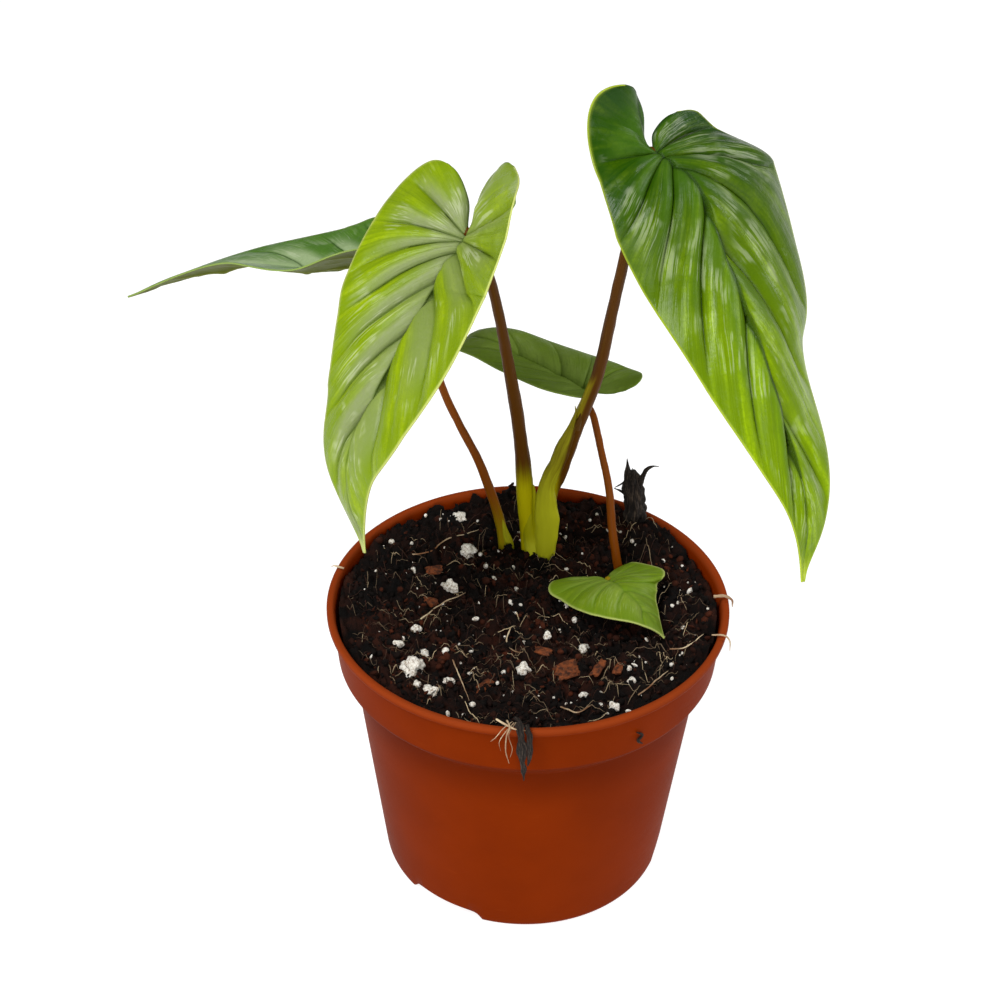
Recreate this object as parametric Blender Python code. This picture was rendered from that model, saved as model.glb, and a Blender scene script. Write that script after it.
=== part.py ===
"""A philodendron growing in a twelve centimetre nursery pot.

Shapes are worked out in millimetres, and MM turns them into metres. The origin is the middle
of the pot's flat base, +X is to the right, -Y is the front and +Z is up. Each leaf is a blade
and a stalk, the stalks meet at a rootstock in the potting mix, and the mix fills the pot.
"""

import math

import bmesh
import bpy
import numpy as np

MM = 0.001

# Clearances
GAP = 0.35  # between pieces that touch
REST_GAP = 0.6  # under small pieces that lie on the uneven mix

# Pot
RIM_RADIUS = 60.0
POT_HEIGHT = 93.0
FOOT_RADIUS = 43.7
FLOOR_LIFT = 3.6  # height of the drain channel's underside over the ground
PLINTH_RADIUS = 24.0  # flat middle of the base, which stands on the ground
WALL = 1.2
SHOULDER_LOW = (52.2, 71.5)
SHOULDER_HIGH = (57.0, 76.5)
LIP_HEIGHT = 2.6
POT_SEGMENTS = 48
DRAIN_COUNT = 8
DRAIN_RADIUS = 3.6
DRAIN_CIRCLE = 34.0
NOTCH_ANGLES = (-123.0, -3.0, 117.0)  # arches in the foot, degrees from +X
NOTCH_WIDTH = 26.0
NOTCH_HEIGHT = 3.4

# Potting mix
MIX_LEVEL = 85.6
MIX_TOP_RADIUS = 56.1
MIX_RING_STEP = 5.0
CROWN = (3.0, 33.5)  # where the stalks leave the mix

# Leaves
BLADE_THICKNESS = 0.7
BLADE_ROWS = 23
BLADE_COLUMNS = 5
FAN_SHARE = 0.3  # share of the margin whose veins start beside the stalk
NOTCH_SHARE = 0.3  # share of the margin over which the veins still follow the notch's edge
FAN_LENGTH = 0.05  # the stretch of midrib that those veins start from, in leaf lengths
STALK_SIDES = 10
STALK_RINGS = 15
STALK_GAP = 0.6  # between a stalk's end and the back of its blade

# Half a heart-shaped leaf: across and along, in leaf lengths, from the notch to the tip
HEART = (
    (0.010, -0.02),
    (0.05, -0.10),
    (0.14, -0.17),
    (0.24, -0.15),
    (0.305, -0.04),
    (0.315, 0.12),
    (0.285, 0.32),
    (0.225, 0.52),
    (0.145, 0.72),
    (0.06, 0.88),
    (0.018, 0.96),
    (0.006, 1.0),
)
HEART_HALF_WIDTH = 0.315
HEART_LOBE = 0.17
SHAPE_KEYS = (-0.2, 0.25, 0.6, 1.0)  # places along the leaf where fold and curl are given

# Each leaf: the midrib's route from stalk to tip, the way its face looks at the stalk, the
# middle and the tip, and for each side its half width, lobe, fold up from the midrib and curl
# across, in degrees at SHAPE_KEYS, with the lobe's own pitch and narrowness.
LEAVES = {
    "front_leaf": {
        "route": [(-19, 15, 208), (-27, 6, 195.5), (-34, -4, 185.5), (-44.5, -14, 167.5),
                  (-49.5, -18.5, 151.5), (-46, -26, 128)],
        "faces": [(-0.31, -0.65, 0.62), (-0.31, -0.77, 0.50), (-0.25, -0.91, 0.25)],
        "right": {"width": 0.28, "lobe": 0.14, "narrow": 1.04, "pitch": 18,
                  "fold": (0, 7, -17, -35), "curl": (-32, -20, -19, -17)},
        "left": {"width": 0.32, "lobe": 0.227, "narrow": 1.1, "pitch": 22,
                 "fold": (31, 36, 40, 53), "curl": (41, 10, -5, -15)},
        "stalk": [(-0.4, 34, 86), (-0.6, 34, 93), (-1.6, 34, 105), (-2.2, 33.5, 117), (-4.2, 32, 136),
                  (-6.7, 30, 153), (-9.8, 27, 173), (-12.4, 24, 187), (-15.6, 20.5, 199)],
        "stalk_radii": (2.2, 2.4, 2.6, 2.3, 1.9, 1.7, 1.6, 1.5, 1.4, 1.3),
    },
    "right_leaf": {
        "route": [(31.5, 25, 229), (43, 13.5, 222.5), (51.5, 5, 205), (61, -11.5, 186.5),
                  (73.5, -26.5, 151.5), (75.5, -35.5, 128.5)],
        "faces": [(0.43, -0.32, 0.50), (0.10, -0.74, 0.65), (0.16, -0.91, 0.28)],
        "right": {"width": 0.20, "lobe": 0.15, "narrow": 0.71, "pitch": 98,
                  "fold": (-13, -1, 27, 57), "curl": (-17, -25, -24, -14)},
        "left": {"width": 0.30, "lobe": 0.063, "narrow": 0.68, "pitch": 38,
                 "fold": (25, -14, -42, -10), "curl": (-16, -28, -29, -13)},
        "stalk": [(5.6, 33.6, 86), (5.6, 34, 93), (5.8, 34, 107), (9, 34, 117), (13, 33, 132),
                  (19, 31.5, 152.5), (22.5, 30, 175.5), (25.3, 28.5, 194.5), (28, 27.5, 212)],
        "stalk_radii": (2.5, 2.7, 2.9, 2.3, 1.9, 1.75, 1.65, 1.6, 1.5, 1.4),
    },
    "left_leaf": {
        "route": [(-39.5, 46, 179.5), (-49, 46, 179.5), (-62, 48, 176), (-85.5, 55, 173),
                  (-106.5, 56, 167), (-122.5, 54, 162.5)],
        "faces": [(0.09, 0.37, 0.88), (-0.05, 0.35, 0.89), (0.03, 0.34, 0.89)],
        "right": {"width": 0.285, "lobe": 0.16, "narrow": 1.0, "pitch": 15,
                  "fold": (28, 29, 14, 16), "curl": (-2, 1, -1, -7)},
        "left": {"width": 0.30, "lobe": 0.165, "narrow": 1.0, "pitch": 15,
                 "fold": (40, 8, 13, 22), "curl": (0, 0, 0, 0)},
        "stalk": [(-8.2, 36.2, 79), (-8, 36, 87), (-10, 36.5, 98), (-15.6, 38.5, 115),
                  (-22, 40.5, 128), (-26.5, 42, 138), (-31.5, 44, 153), (-35.5, 45.5, 168)],
        "stalk_radii": (1.5, 1.5, 1.45, 1.35, 1.25, 1.2, 1.15, 1.1, 1.1),
    },
    "rear_leaf": {
        "route": [(17, 44, 139), (7, 51, 140.5), (-3, 58.5, 141.5), (-13, 66, 142.5),
                  (-21, 73, 139.5), (-26, 79, 131.5), (-28, 83, 121.5)],
        "faces": [(0, 0.10, 0.96), (-0.05, 0.25, 0.94), (-0.60, 0.60, 0.50)],
        "right": {"width": 0.26, "lobe": 0.20, "narrow": 0.9, "pitch": 22,
                  "fold": (45, 28, 14, 10), "curl": (-60, -56, -35, -20)},
        "left": {"width": 0.21, "lobe": 0.06, "narrow": 0.8, "pitch": 5,
                 "fold": (30, 12, -10, -18), "curl": (-18, -16, -9, -4)},
        "stalk": [(29, 21, 79), (28, 22, 86), (25.4, 26.5, 100), (24, 31, 112),
                  (21.2, 36, 123), (18.6, 41, 132)],
        "stalk_radii": (1.4, 1.4, 1.3, 1.2, 1.1, 1.1, 1.0),
    },
    "small_leaf": {
        "route": [(24, 11, 93), (27, 2.5, 97), (30.5, -2.5, 96.5), (35.5, -7.5, 94),
                  (40.5, -12.3, 89)],
        "faces": [(0.04, 0.02, 0.99), (-0.02, -0.10, 1.0), (0.06, -0.25, 0.91)],
        "right": {"width": 0.52, "lobe": 0.23, "narrow": 1.15, "pitch": -30,
                  "fold": (14, -2, 11, 44), "curl": (-20, -27, -21, -6)},
        "left": {"width": 0.51, "lobe": 0.245, "narrow": 0.83, "pitch": -14,
                 "fold": (15, -3, -29, -40), "curl": (0, 0, 0, 0)},
        "stalk": [(25, 17, 79), (25, 16, 84), (24.4, 14, 88)],
        "stalk_radii": (1.2, 1.1, 1.0, 0.9),
    },
}

# Rootstock: a buried stem, wider than it is deep, with the two main stalks on its top
ROOTSTOCK = [(2.6, 33.8, 85.3), (2.8, 33, 76), (4, 30, 64), (5, 26, 52)]
ROOTSTOCK_RADII = (3.4, 3.3, 2.9, 1.8)
ROOTSTOCK_BREADTH = 1.72

# Sheaths: green flaps that wrapped a younger leaf
RIGHT_SHEATH = [(3.4, 31.2, 110), (5.9, 30.6, 119), (8.7, 30.4, 129), (11.4, 30.3, 140.5)]
RIGHT_SHEATH_RADII = (0.75, 0.85, 0.7, 0.2)
RIGHT_SHEATH_BREADTH = 2.6
LEFT_SHEATH = [(-5.2, 34.2, 80), (-4.9, 34.2, 87), (-6.5, 33.8, 92), (-8.6, 33.8, 97.5)]
LEFT_SHEATH_RADII = (0.75, 0.8, 0.6, 0.25)
LEFT_SHEATH_BREADTH = 1.5

# Dry stump of an old stalk
STUMP = [(31, 39.5, 81), (33, 41.5, 93), (32.5, 42, 102), (31.5, 42, 110)]
STUMP_RADII = (2.9, 2.8, 2.9, 2.7)
STUMP_SPIKES = (
    ([(30.5, 42, 107), (30, 42, 112), (29.6, 42, 116)], (1.6, 0.9, 0.2)),
    ([(33, 42, 107), (35.5, 41.5, 112), (39.5, 41, 114)], (1.5, 0.8, 0.2)),
    ([(32, 42, 100), (29, 41.5, 103.5), (26, 41, 106)], (1.0, 0.6, 0.25)),
)

# Dry leaf scrap that hangs over the front rim, and a root end over the right rim
RIM_SCRAP = [(-1.6, -57.5, 94.6), (-1.4, -60.6, 94.4), (-0.9, -61.6, 91), (-0.6, -60.9, 85),
             (-0.6, -60.3, 77)]
RIM_SCRAP_WIDTHS = (4.0, 6.0, 5.5, 3.6, 0.8)
RIM_ROOT = [(55.5, 1.5, 94.3), (58.5, 1.3, 94.8), (61.2, 1, 93.4), (61.9, 0.8, 90), (60.9, 0.6, 88)]
RIM_ROOT_RADIUS = 0.6

# White perlite: x, y and size across
PERLITE = (
    (-33, -27, 7.0), (-38, -17, 3.6), (-30, -17, 3.6), (-24, 13, 4.6), (-36, 21, 3.4),
    (-19, 30, 6.4), (-22, 46, 4.0), (-33, -7, 3.4), (-22, -33, 3.6), (-27, -38, 4.4),
    (-1, -24, 4.6), (17, -13, 4.6), (6, -13, 3.0), (25, -44, 2.8), (17, -34, 2.8), (30, -34, 3.0),
)
# Bark chips: x, y, length, breadth and turn in degrees
BARK = (
    (12, -26, 8.0, 6.0, 25), (21, -25, 7.5, 2.6, 62), (27, -25, 5.5, 2.6, 70),
    (5, -17, 5.0, 3.2, -20), (-29, 20, 5.5, 3.2, 15), (-30, 8, 4.6, 3.0, -30), (-12, -33, 6.0, 3.4, 40),
)
BARK_THICKNESS = 1.8
# Loose rootlets: where they lie, from above
ROOTLETS = (
    ((-22, -21), (-19, -32), (-16, -43)),
    ((-32, -2), (-26, 5), (-19, 10)),
    ((-36, 26), (-30, 28), (-26, 33), (-16, 40)),
    ((-5, -7), (-6, -13), (-4, -17), (-1, -17)),
    ((42, -16), (47, -17), (52, -12)),
    ((10, -42), (15, -46), (21, -40)),
    ((32, -40), (36, -36), (41, -28)),
)
ROOTLET_RADIUS = 0.4

MATERIALS = {
    "pot_plastic": ((0.36, 0.075, 0.02), 0.42),
    "potting_mix": ((0.035, 0.018, 0.010), 0.95),
    "leaf_green": ((0.10, 0.24, 0.03), 0.45),
    "stalk": ((0.20, 0.11, 0.03), 0.5),
    "young_stem": ((0.42, 0.50, 0.10), 0.45),
    "dry_stem": ((0.02, 0.016, 0.013), 0.9),
    "perlite": ((0.80, 0.78, 0.72), 0.9),
    "bark": ((0.20, 0.07, 0.035), 0.85),
    "rootlet": ((0.40, 0.30, 0.20), 0.8),
}


def clear_scene():
    for old in list(bpy.data.objects):
        bpy.data.objects.remove(old, do_unlink=True)


def material(slot):
    """The slot's Principled material, made the first time that it is asked for."""
    found = bpy.data.materials.get(slot)
    if found:
        return found
    colour, roughness = MATERIALS[slot]
    made = bpy.data.materials.new(slot)
    made.use_nodes = True
    shader = made.node_tree.nodes["Principled BSDF"]
    shader.inputs["Base Color"].default_value = (*colour, 1.0)
    shader.inputs["Roughness"].default_value = roughness
    shader.inputs["Metallic"].default_value = 0.0
    return made


def add_mesh(name, points, faces, slot):
    """An object whose points are given in millimetres."""
    mesh = bpy.data.meshes.new(name)
    mesh.from_pydata((np.asarray(points, float) * MM).tolist(), [], faces)
    mesh.materials.append(material(slot))
    mesh.shade_smooth()
    mesh.set_sharp_from_angle(angle=math.radians(40))
    made = bpy.data.objects.new(name, mesh)
    bpy.context.scene.collection.objects.link(made)
    return made


def as_cutter(made):
    made.hide_render = True
    made.display_type = "WIRE"
    return made


def combine(target, others, operation):
    """Cuts the other objects from the target, or joins them to it."""
    for other in others:
        as_cutter(other)
        step = target.modifiers.new(other.name, "BOOLEAN")
        step.operation = operation
        step.object = other


def smooth_curve(points, count):
    """A Catmull-Rom curve through the points, resampled at even distances."""
    points = np.asarray(points, float)
    ends = np.vstack([2 * points[0] - points[1], points, 2 * points[-1] - points[-2]])
    place = np.linspace(0, len(points) - 1, 20 * len(points))
    first = np.minimum(place.astype(int), len(points) - 2)
    part = (place - first)[:, None]
    a, b, c, d = (ends[first + k] for k in range(4))
    curve = b + 0.5 * ((c - a) + ((2 * a - 5 * b + 4 * c - d) + (3 * b - a - 3 * c + d) * part) * part) * part
    return resample(curve, count)


def resample(points, count):
    """The same polyline with points at even distances along it."""
    steps = np.linalg.norm(np.diff(points, axis=0), axis=1)
    travelled = np.concatenate([[0], np.cumsum(steps)])
    wanted = np.linspace(0, travelled[-1], count)
    return np.stack([np.interp(wanted, travelled, axis) for axis in points.T], axis=1)


def ease(where, keys, values):
    """Values eased between keys by cubic Hermite pieces, and held beyond the ends."""
    keys = np.asarray(keys, float)
    values = np.asarray(values, float)
    slopes = np.gradient(values, keys)
    where = np.clip(where, keys[0], keys[-1])
    first = np.clip(np.searchsorted(keys, where, side="right") - 1, 0, len(keys) - 2)
    span = keys[first + 1] - keys[first]
    part = (where - keys[first]) / span
    back = 1 - part
    rise = part * part * (3 - 2 * part)
    bow = part * back * (back * slopes[first] - part * slopes[first + 1]) * span
    return values[first] * (1 - rise) + values[first + 1] * rise + bow


def unit(vectors):
    return vectors / np.linalg.norm(vectors, axis=-1, keepdims=True)


def ring_faces(rings, sides):
    """Quads between neighbouring rings, and a face at each end."""
    walls = [
        (r * sides + s, r * sides + (s + 1) % sides, (r + 1) * sides + (s + 1) % sides, (r + 1) * sides + s)
        for r in range(rings - 1)
        for s in range(sides)
    ]
    start = tuple(reversed(range(sides)))
    end = tuple(range((rings - 1) * sides, rings * sides))
    return [start, *walls, end]


def tube(name, route, radii, slot, sides=STALK_SIDES, rings=STALK_RINGS, breadth=1.0, grow=0.0, across=(0, 1, 0)):
    """A tapering stem along a smooth route; breadth widens it square to the across direction."""
    middle = smooth_curve(route, rings)
    along = unit(np.gradient(middle, axis=0))
    wide = unit(np.cross(np.broadcast_to(np.asarray(across, float), along.shape), along))
    deep = np.cross(along, wide)
    radius = ease(np.linspace(0, 1, rings), np.linspace(0, 1, len(radii)), radii)
    middle[0] -= along[0] * grow
    turn = np.linspace(0, 2 * math.pi, sides, endpoint=False)[:, None]
    wide_reach = (radius * breadth + grow)[:, None, None] * np.cos(turn) * wide[:, None]
    deep_reach = (radius + grow)[:, None, None] * np.sin(turn) * deep[:, None]
    points = middle[:, None] + wide_reach + deep_reach
    return add_mesh(name, points.reshape(-1, 3), ring_faces(rings, sides), slot)


def turned(name, profile, slot, lift=None):
    """A solid of revolution. The profile runs from the axis, outwards and back to the axis."""
    radii, heights = np.asarray(profile[1:-1], float).T
    turn = np.linspace(0, 2 * math.pi, POT_SEGMENTS, endpoint=False)
    x = radii[:, None] * np.cos(turn)
    y = radii[:, None] * np.sin(turn)
    z = np.broadcast_to(heights[:, None], x.shape)
    points = np.stack([x, y, z], axis=-1).reshape(-1, 3)
    low = (0.0, 0.0, profile[0][1])
    high = (0.0, 0.0, profile[-1][1])
    points = np.vstack([points, low, high])
    if lift:
        points[:, 2] = lift(points)
    faces = ring_faces(len(radii), POT_SEGMENTS)[1:-1]
    last = (len(radii) - 1) * POT_SEGMENTS
    centre_low = len(points) - 2
    centre_high = len(points) - 1
    for s in range(POT_SEGMENTS):
        following = (s + 1) % POT_SEGMENTS
        faces.append((centre_low, following, s))
        faces.append((centre_high, last + s, last + following))
    return add_mesh(name, points, faces, slot)


def s_step(low, high, steps=5):
    """Points of a smooth step: the radius follows an S while the height climbs evenly."""
    part = np.linspace(0, 1, steps)
    radius = low[0] + (high[0] - low[0]) * part * part * (3 - 2 * part)
    height = low[1] + (high[1] - low[1]) * part
    return list(zip(radius.tolist(), height.tolist()))


def pot_inside():
    """The inner profile from the rim down to the middle of the floor."""
    low = (SHOULDER_LOW[0] - WALL, SHOULDER_LOW[1] + WALL)
    high = (SHOULDER_HIGH[0] - WALL, SHOULDER_HIGH[1] + WALL)
    floor = FLOOR_LIFT + WALL
    return [
        (RIM_RADIUS - 1.6, POT_HEIGHT),
        (RIM_RADIUS - 2.2, POT_HEIGHT - 0.6),
        (RIM_RADIUS - 2.6, POT_HEIGHT - LIP_HEIGHT),
        *reversed(s_step(low, high)),
        (FOOT_RADIUS - WALL + 0.3, floor + 1.5),
        (FOOT_RADIUS - WALL - 1.2, floor),
        (PLINTH_RADIUS + 2.0, floor),
        (PLINTH_RADIUS - 0.6, WALL),
        (0.0, WALL),
    ]


def make_pot():
    underside = [
        (0.0, 0.0),
        (PLINTH_RADIUS, 0.0),
        (PLINTH_RADIUS + 2.6, FLOOR_LIFT),
        (FOOT_RADIUS - WALL - 0.8, FLOOR_LIFT),
        (FOOT_RADIUS - WALL - 1.2, 0.0),
        (FOOT_RADIUS - 1.2, 0.0),
        (FOOT_RADIUS - 0.3, 0.7),
        (FOOT_RADIUS + 0.1, 2.4),
    ]
    lip_foot = POT_HEIGHT - LIP_HEIGHT
    outside = [
        *s_step(SHOULDER_LOW, SHOULDER_HIGH),
        (RIM_RADIUS - 1.5, lip_foot),
        (RIM_RADIUS - 0.3, lip_foot + 0.2),
        (RIM_RADIUS, lip_foot + 0.9),
        (RIM_RADIUS, POT_HEIGHT - 0.7),
        (RIM_RADIUS - 0.6, POT_HEIGHT),
    ]
    pot = turned("pot", underside + outside + pot_inside(), "pot_plastic")
    cutters = []
    for k in range(DRAIN_COUNT):
        angle = 2 * math.pi * (k + 0.5) / DRAIN_COUNT
        x = DRAIN_CIRCLE * math.cos(angle)
        y = DRAIN_CIRCLE * math.sin(angle)
        ends = [(x, y, -1), (x, y, 4), (x, y, 9)]
        cutters.append(tube(f"cut_drain_{k}", ends, (DRAIN_RADIUS,) * 2, "pot_plastic", rings=2, sides=16))
    for k, angle in enumerate(NOTCH_ANGLES):
        cutters.append(notch_cutter(f"cut_notch_{k}", math.radians(angle)))
    combine(pot, cutters, "DIFFERENCE")


def notch_cutter(name, angle):
    """A low arch across the foot, as wide as NOTCH_WIDTH on the ground."""
    across = np.linspace(-1, 1, 9)
    arch = NOTCH_HEIGHT * (1 - across**4)
    outline = [(NOTCH_WIDTH / 2 * a, h) for a, h in zip(across, arch)]
    outline = [(NOTCH_WIDTH / 2, -2.0), (-NOTCH_WIDTH / 2, -2.0)] + outline[:-1] + [(NOTCH_WIDTH / 2, 0.0)]
    outward = np.array([math.cos(angle), math.sin(angle), 0])
    sideways = np.array([-math.sin(angle), math.cos(angle), 0])
    rings = [
        [outward * reach + sideways * a + np.array([0, 0, h]) for a, h in outline]
        for reach in (FOOT_RADIUS - 7.5, FOOT_RADIUS + 6)
    ]
    sides = len(outline)
    cutter = add_mesh(name, np.array(rings).reshape(-1, 3), ring_faces(2, sides), "pot_plastic")
    face_outwards(cutter)
    return cutter


def face_outwards(made):
    shape = bmesh.new()
    shape.from_mesh(made.data)
    bmesh.ops.recalc_face_normals(shape, faces=shape.faces)
    shape.to_mesh(made.data)
    shape.free()


def mix_height(x, y):
    """Height of the mix's top: a low mound at the crown, gentle bumps, and a dip at the wall."""
    mound = 1.6 * np.exp(-((x - CROWN[0]) ** 2 + (y - CROWN[1]) ** 2) / (2 * 15.0**2))
    bumps = 0.7 * np.sin(x / 9 + 1) * np.cos(y / 11) + 0.5 * np.sin((x + y) / 8 + 2)
    edge = 1.2 * np.clip((np.hypot(x, y) - 48) / 8, 0, 1) ** 2
    return MIX_LEVEL + mound + bumps - edge


def offset_inwards(profile, distance):
    """The profile moved to its right-hand side by the distance, corners mitred."""
    points = np.asarray(profile, float)
    way = unit(np.diff(points, axis=0))
    normal = np.stack([way[:, 1], -way[:, 0]], axis=1)
    before = np.vstack([normal[:1], normal])
    after = np.vstack([normal, normal[-1:]])
    bisector = unit(before + after)
    reach = distance / (bisector * before).sum(axis=1)
    return points + bisector * reach[:, None]


def make_potting_mix():
    side = offset_inwards(list(reversed(pot_inside())), -GAP)
    side = [tuple(p) for p in side if p[1] < MIX_LEVEL - 4]
    side[0] = (0.0, side[0][1])
    rings = np.arange(MIX_TOP_RADIUS, MIX_RING_STEP / 2, -MIX_RING_STEP)
    top = [(float(r), MIX_LEVEL) for r in rings]

    def lift(points):
        on_top = np.abs(points[:, 2] - MIX_LEVEL) < 0.01
        return np.where(on_top, mix_height(points[:, 0], points[:, 1]), points[:, 2])

    mix = turned("potting_mix", side + top + [(0.0, MIX_LEVEL)], "potting_mix", lift)
    sockets = [crown_socket()]
    for leaf in ("left_leaf", "rear_leaf", "small_leaf"):
        sockets.append(stalk(leaf, f"cut_{leaf}", grow=GAP))
    sockets.append(left_sheath("cut_left_sheath", grow=GAP))
    sockets.append(tube("cut_stump", STUMP, STUMP_RADII, "dry_stem", grow=GAP))
    combine(mix, sockets, "DIFFERENCE")


def crown_socket():
    """The hole that the rootstock and the two main stalks fill."""
    top = (CROWN[0] - 0.3, CROWN[1] + 0.3, MIX_LEVEL + 12)
    radii = tuple(r + GAP + 0.3 for r in reversed(ROOTSTOCK_RADII))
    route = [*reversed(ROOTSTOCK), top]
    return tube("cut_crown", route, (*radii, radii[-1]), "potting_mix", breadth=ROOTSTOCK_BREADTH, grow=GAP)


def leaf_side(side, rows, columns):
    """Half a flat leaf as a grid of (across, along), in leaf lengths.

    A row follows a side vein: it leaves the midrib, bows towards the tip and ends on the margin.
    The first row is the edge of the notch, from the stalk to the end of the lobe. The next ones
    fan out from beside the stalk, and the others start ever further along the midrib.
    """
    outline = np.array(HEART)
    lobe = outline[:, 1] < 0
    outline[:, 0] *= side["width"] / HEART_HALF_WIDTH
    outline[lobe] *= (side["narrow"], side["lobe"] / HEART_LOBE)
    edge = smooth_curve(outline, 240)
    lobe_end = int(np.argmin(edge[:, 1]))
    notch = resample(np.vstack([(0.0, 0.0), edge[: lobe_end + 1]]), columns)
    rim = resample(edge[lobe_end:], rows)[:, None]
    part = np.linspace(0, 1, rows)
    start = FAN_LENGTH * np.clip(part / FAN_SHARE, 0, 1)
    start = start + (1 - FAN_LENGTH) * np.clip((part - FAN_SHARE) / (1 - FAN_SHARE), 0, 1) ** 1.3
    spine = np.stack([0 * start, start], axis=1)[:, None]
    bow = spine + (rim - spine) * (0.55, 0.25)
    v = np.linspace(0, 1, columns)[:, None]
    grid = (1 - v) ** 2 * spine + 2 * v * (1 - v) * bow + v**2 * rim
    hug = np.clip(1 - part / NOTCH_SHARE, 0, 1) ** 2
    return grid + hug[:, None, None] * (notch - grid[0])


def leaf_frame(leaf, samples=120):
    """The midrib as points, with the unit vectors along it, to its right and out of its face."""
    middle = smooth_curve(leaf["route"], samples)
    along = unit(np.gradient(middle, axis=0))
    place = np.linspace(0, 1, samples)
    faces = np.array(leaf["faces"])
    hint = np.stack([ease(place, (0, 0.5, 1), faces[:, k]) for k in range(3)], axis=1)
    right = unit(np.cross(along, hint))
    return middle, along, right, np.cross(right, along)


def leaf_half(leaf, side_name, rows, columns):
    """One half of a blade in space.

    Across the leaf each row is an arc that starts at the fold angle and turns by the curl angle
    on its way to the margin. Behind the stalk the lobe bends back by its pitch.
    """
    side = leaf[side_name]
    flat = leaf_side(side, rows, columns)
    middle, along, right, out = leaf_frame(leaf)
    length = np.linalg.norm(np.diff(middle, axis=0), axis=1).sum()
    x = flat[..., 0] * length
    y = flat[..., 1]
    place = np.linspace(0, 1, len(middle))
    c, t, s, n = (
        np.stack([np.interp(y, place, field[:, k]) for k in range(3)], axis=-1)
        for field in (middle, along, right, out)
    )
    bend = math.radians(side["pitch"]) / (side["lobe"] * length)
    angle = (bend * np.clip(-y, 0, None) * length)[..., None]
    c = c - t * np.sin(angle) / bend + n * (1 - np.cos(angle)) / bend
    n = n * np.cos(angle) + t * np.sin(angle)
    fold = np.radians(ease(y, SHAPE_KEYS, side["fold"]))
    curl = np.radians(ease(y, SHAPE_KEYS, side["curl"])) / (side["width"] * length)
    curl = np.where(np.abs(curl) < 1e-6, 1e-6, curl)
    reach = (np.sin(fold + curl * x) - np.sin(fold)) / curl
    lift = (np.cos(fold) - np.cos(fold + curl * x)) / curl
    way = 1 if side_name == "right" else -1
    return c + way * reach[..., None] * s + lift[..., None] * n


def make_blade(name):
    """The two halves share the midrib, and Solidify gives the sheet its thickness."""
    leaf = LEAVES[name]
    right = leaf_half(leaf, "right", BLADE_ROWS, BLADE_COLUMNS)
    left = leaf_half(leaf, "left", BLADE_ROWS, BLADE_COLUMNS)
    grid = np.concatenate([left[:, :0:-1], right], axis=1)
    rows, columns = grid.shape[:2]
    faces = [
        (r * columns + c, r * columns + c + 1, (r + 1) * columns + c + 1, (r + 1) * columns + c)
        for r in range(rows - 1)
        for c in range(columns - 1)
    ]
    blade = add_mesh(f"{name}_blade", grid.reshape(-1, 3), faces, "leaf_green")
    thick = blade.modifiers.new("thickness", "SOLIDIFY")
    thick.thickness = BLADE_THICKNESS * MM
    thick.offset = 0.0


def stalk(name, made_name, grow=0.0):
    """A leaf stalk, whose end turns square to the back of its blade."""
    leaf = LEAVES[name]
    middle, _, _, out = leaf_frame(leaf)
    end = middle[0] - out[0] * (BLADE_THICKNESS / 2 + STALK_GAP)
    neck = middle[0] - out[0] * 4
    route = [*leaf["stalk"], neck, end] if len(leaf["stalk"]) > 3 else [*leaf["stalk"], end]
    return tube(made_name, route, leaf["stalk_radii"], "stalk", grow=grow)


def left_sheath(name, grow=0.0):
    return tube(name, LEFT_SHEATH, LEFT_SHEATH_RADII, "young_stem", breadth=LEFT_SHEATH_BREADTH, grow=grow)


def make_stump():
    stump = tube("dry_stump", STUMP, STUMP_RADII, "dry_stem")
    spikes = [
        tube(f"join_spike_{k}", route, radii, "dry_stem", sides=6, rings=5)
        for k, (route, radii) in enumerate(STUMP_SPIKES)
    ]
    combine(stump, spikes, "UNION")


def make_rim_scrap():
    """A narrow dry strip over the front rim, thickened by Solidify."""
    rows = 9
    middle = smooth_curve(RIM_SCRAP, rows)
    width = ease(np.linspace(0, 1, rows), np.linspace(0, 1, len(RIM_SCRAP_WIDTHS)), RIM_SCRAP_WIDTHS)
    across = np.linspace(-0.5, 0.5, 3)
    points = np.repeat(middle[:, None], 3, axis=1)
    points[..., 0] += width[:, None] * across
    faces = [
        (r * 3 + c, (r + 1) * 3 + c, (r + 1) * 3 + c + 1, r * 3 + c + 1)
        for r in range(rows - 1)
        for c in range(2)
    ]
    strip = add_mesh("rim_scrap", points.reshape(-1, 3), faces, "dry_stem")
    thick = strip.modifiers.new("thickness", "SOLIDIFY")
    thick.thickness = 0.5 * MM
    thick.offset = 0.0


def make_perlite():
    """Rough rounded grains: a ball pushed in and out at random, flattened where it lies."""
    random = np.random.default_rng(7)
    for k, (x, y, size) in enumerate(PERLITE, start=1):
        shape = bmesh.new()
        bmesh.ops.create_icosphere(shape, subdivisions=2, radius=1.0)
        stretch = random.uniform(0.8, 1.0, 3) * (1, 1, 0.8)
        for vertex in shape.verts:
            ball = np.array(vertex.co) * stretch * random.uniform(0.88, 1.08) * size / 2
            px = x + ball[0]
            py = y + ball[1]
            ground = float(mix_height(px, py)) + REST_GAP
            pz = float(mix_height(x, y)) + 0.25 * size + ball[2]
            vertex.co = (px * MM, py * MM, max(pz, ground + 0.05 * (1 + ball[2] / size)) * MM)
        add_bmesh(f"perlite_{k:02d}", shape, "perlite")


def add_bmesh(name, shape, slot):
    mesh = bpy.data.meshes.new(name)
    shape.to_mesh(mesh)
    shape.free()
    mesh.materials.append(material(slot))
    mesh.shade_smooth()
    mesh.set_sharp_from_angle(angle=math.radians(40))
    made = bpy.data.objects.new(name, mesh)
    bpy.context.scene.collection.objects.link(made)
    return made


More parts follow.
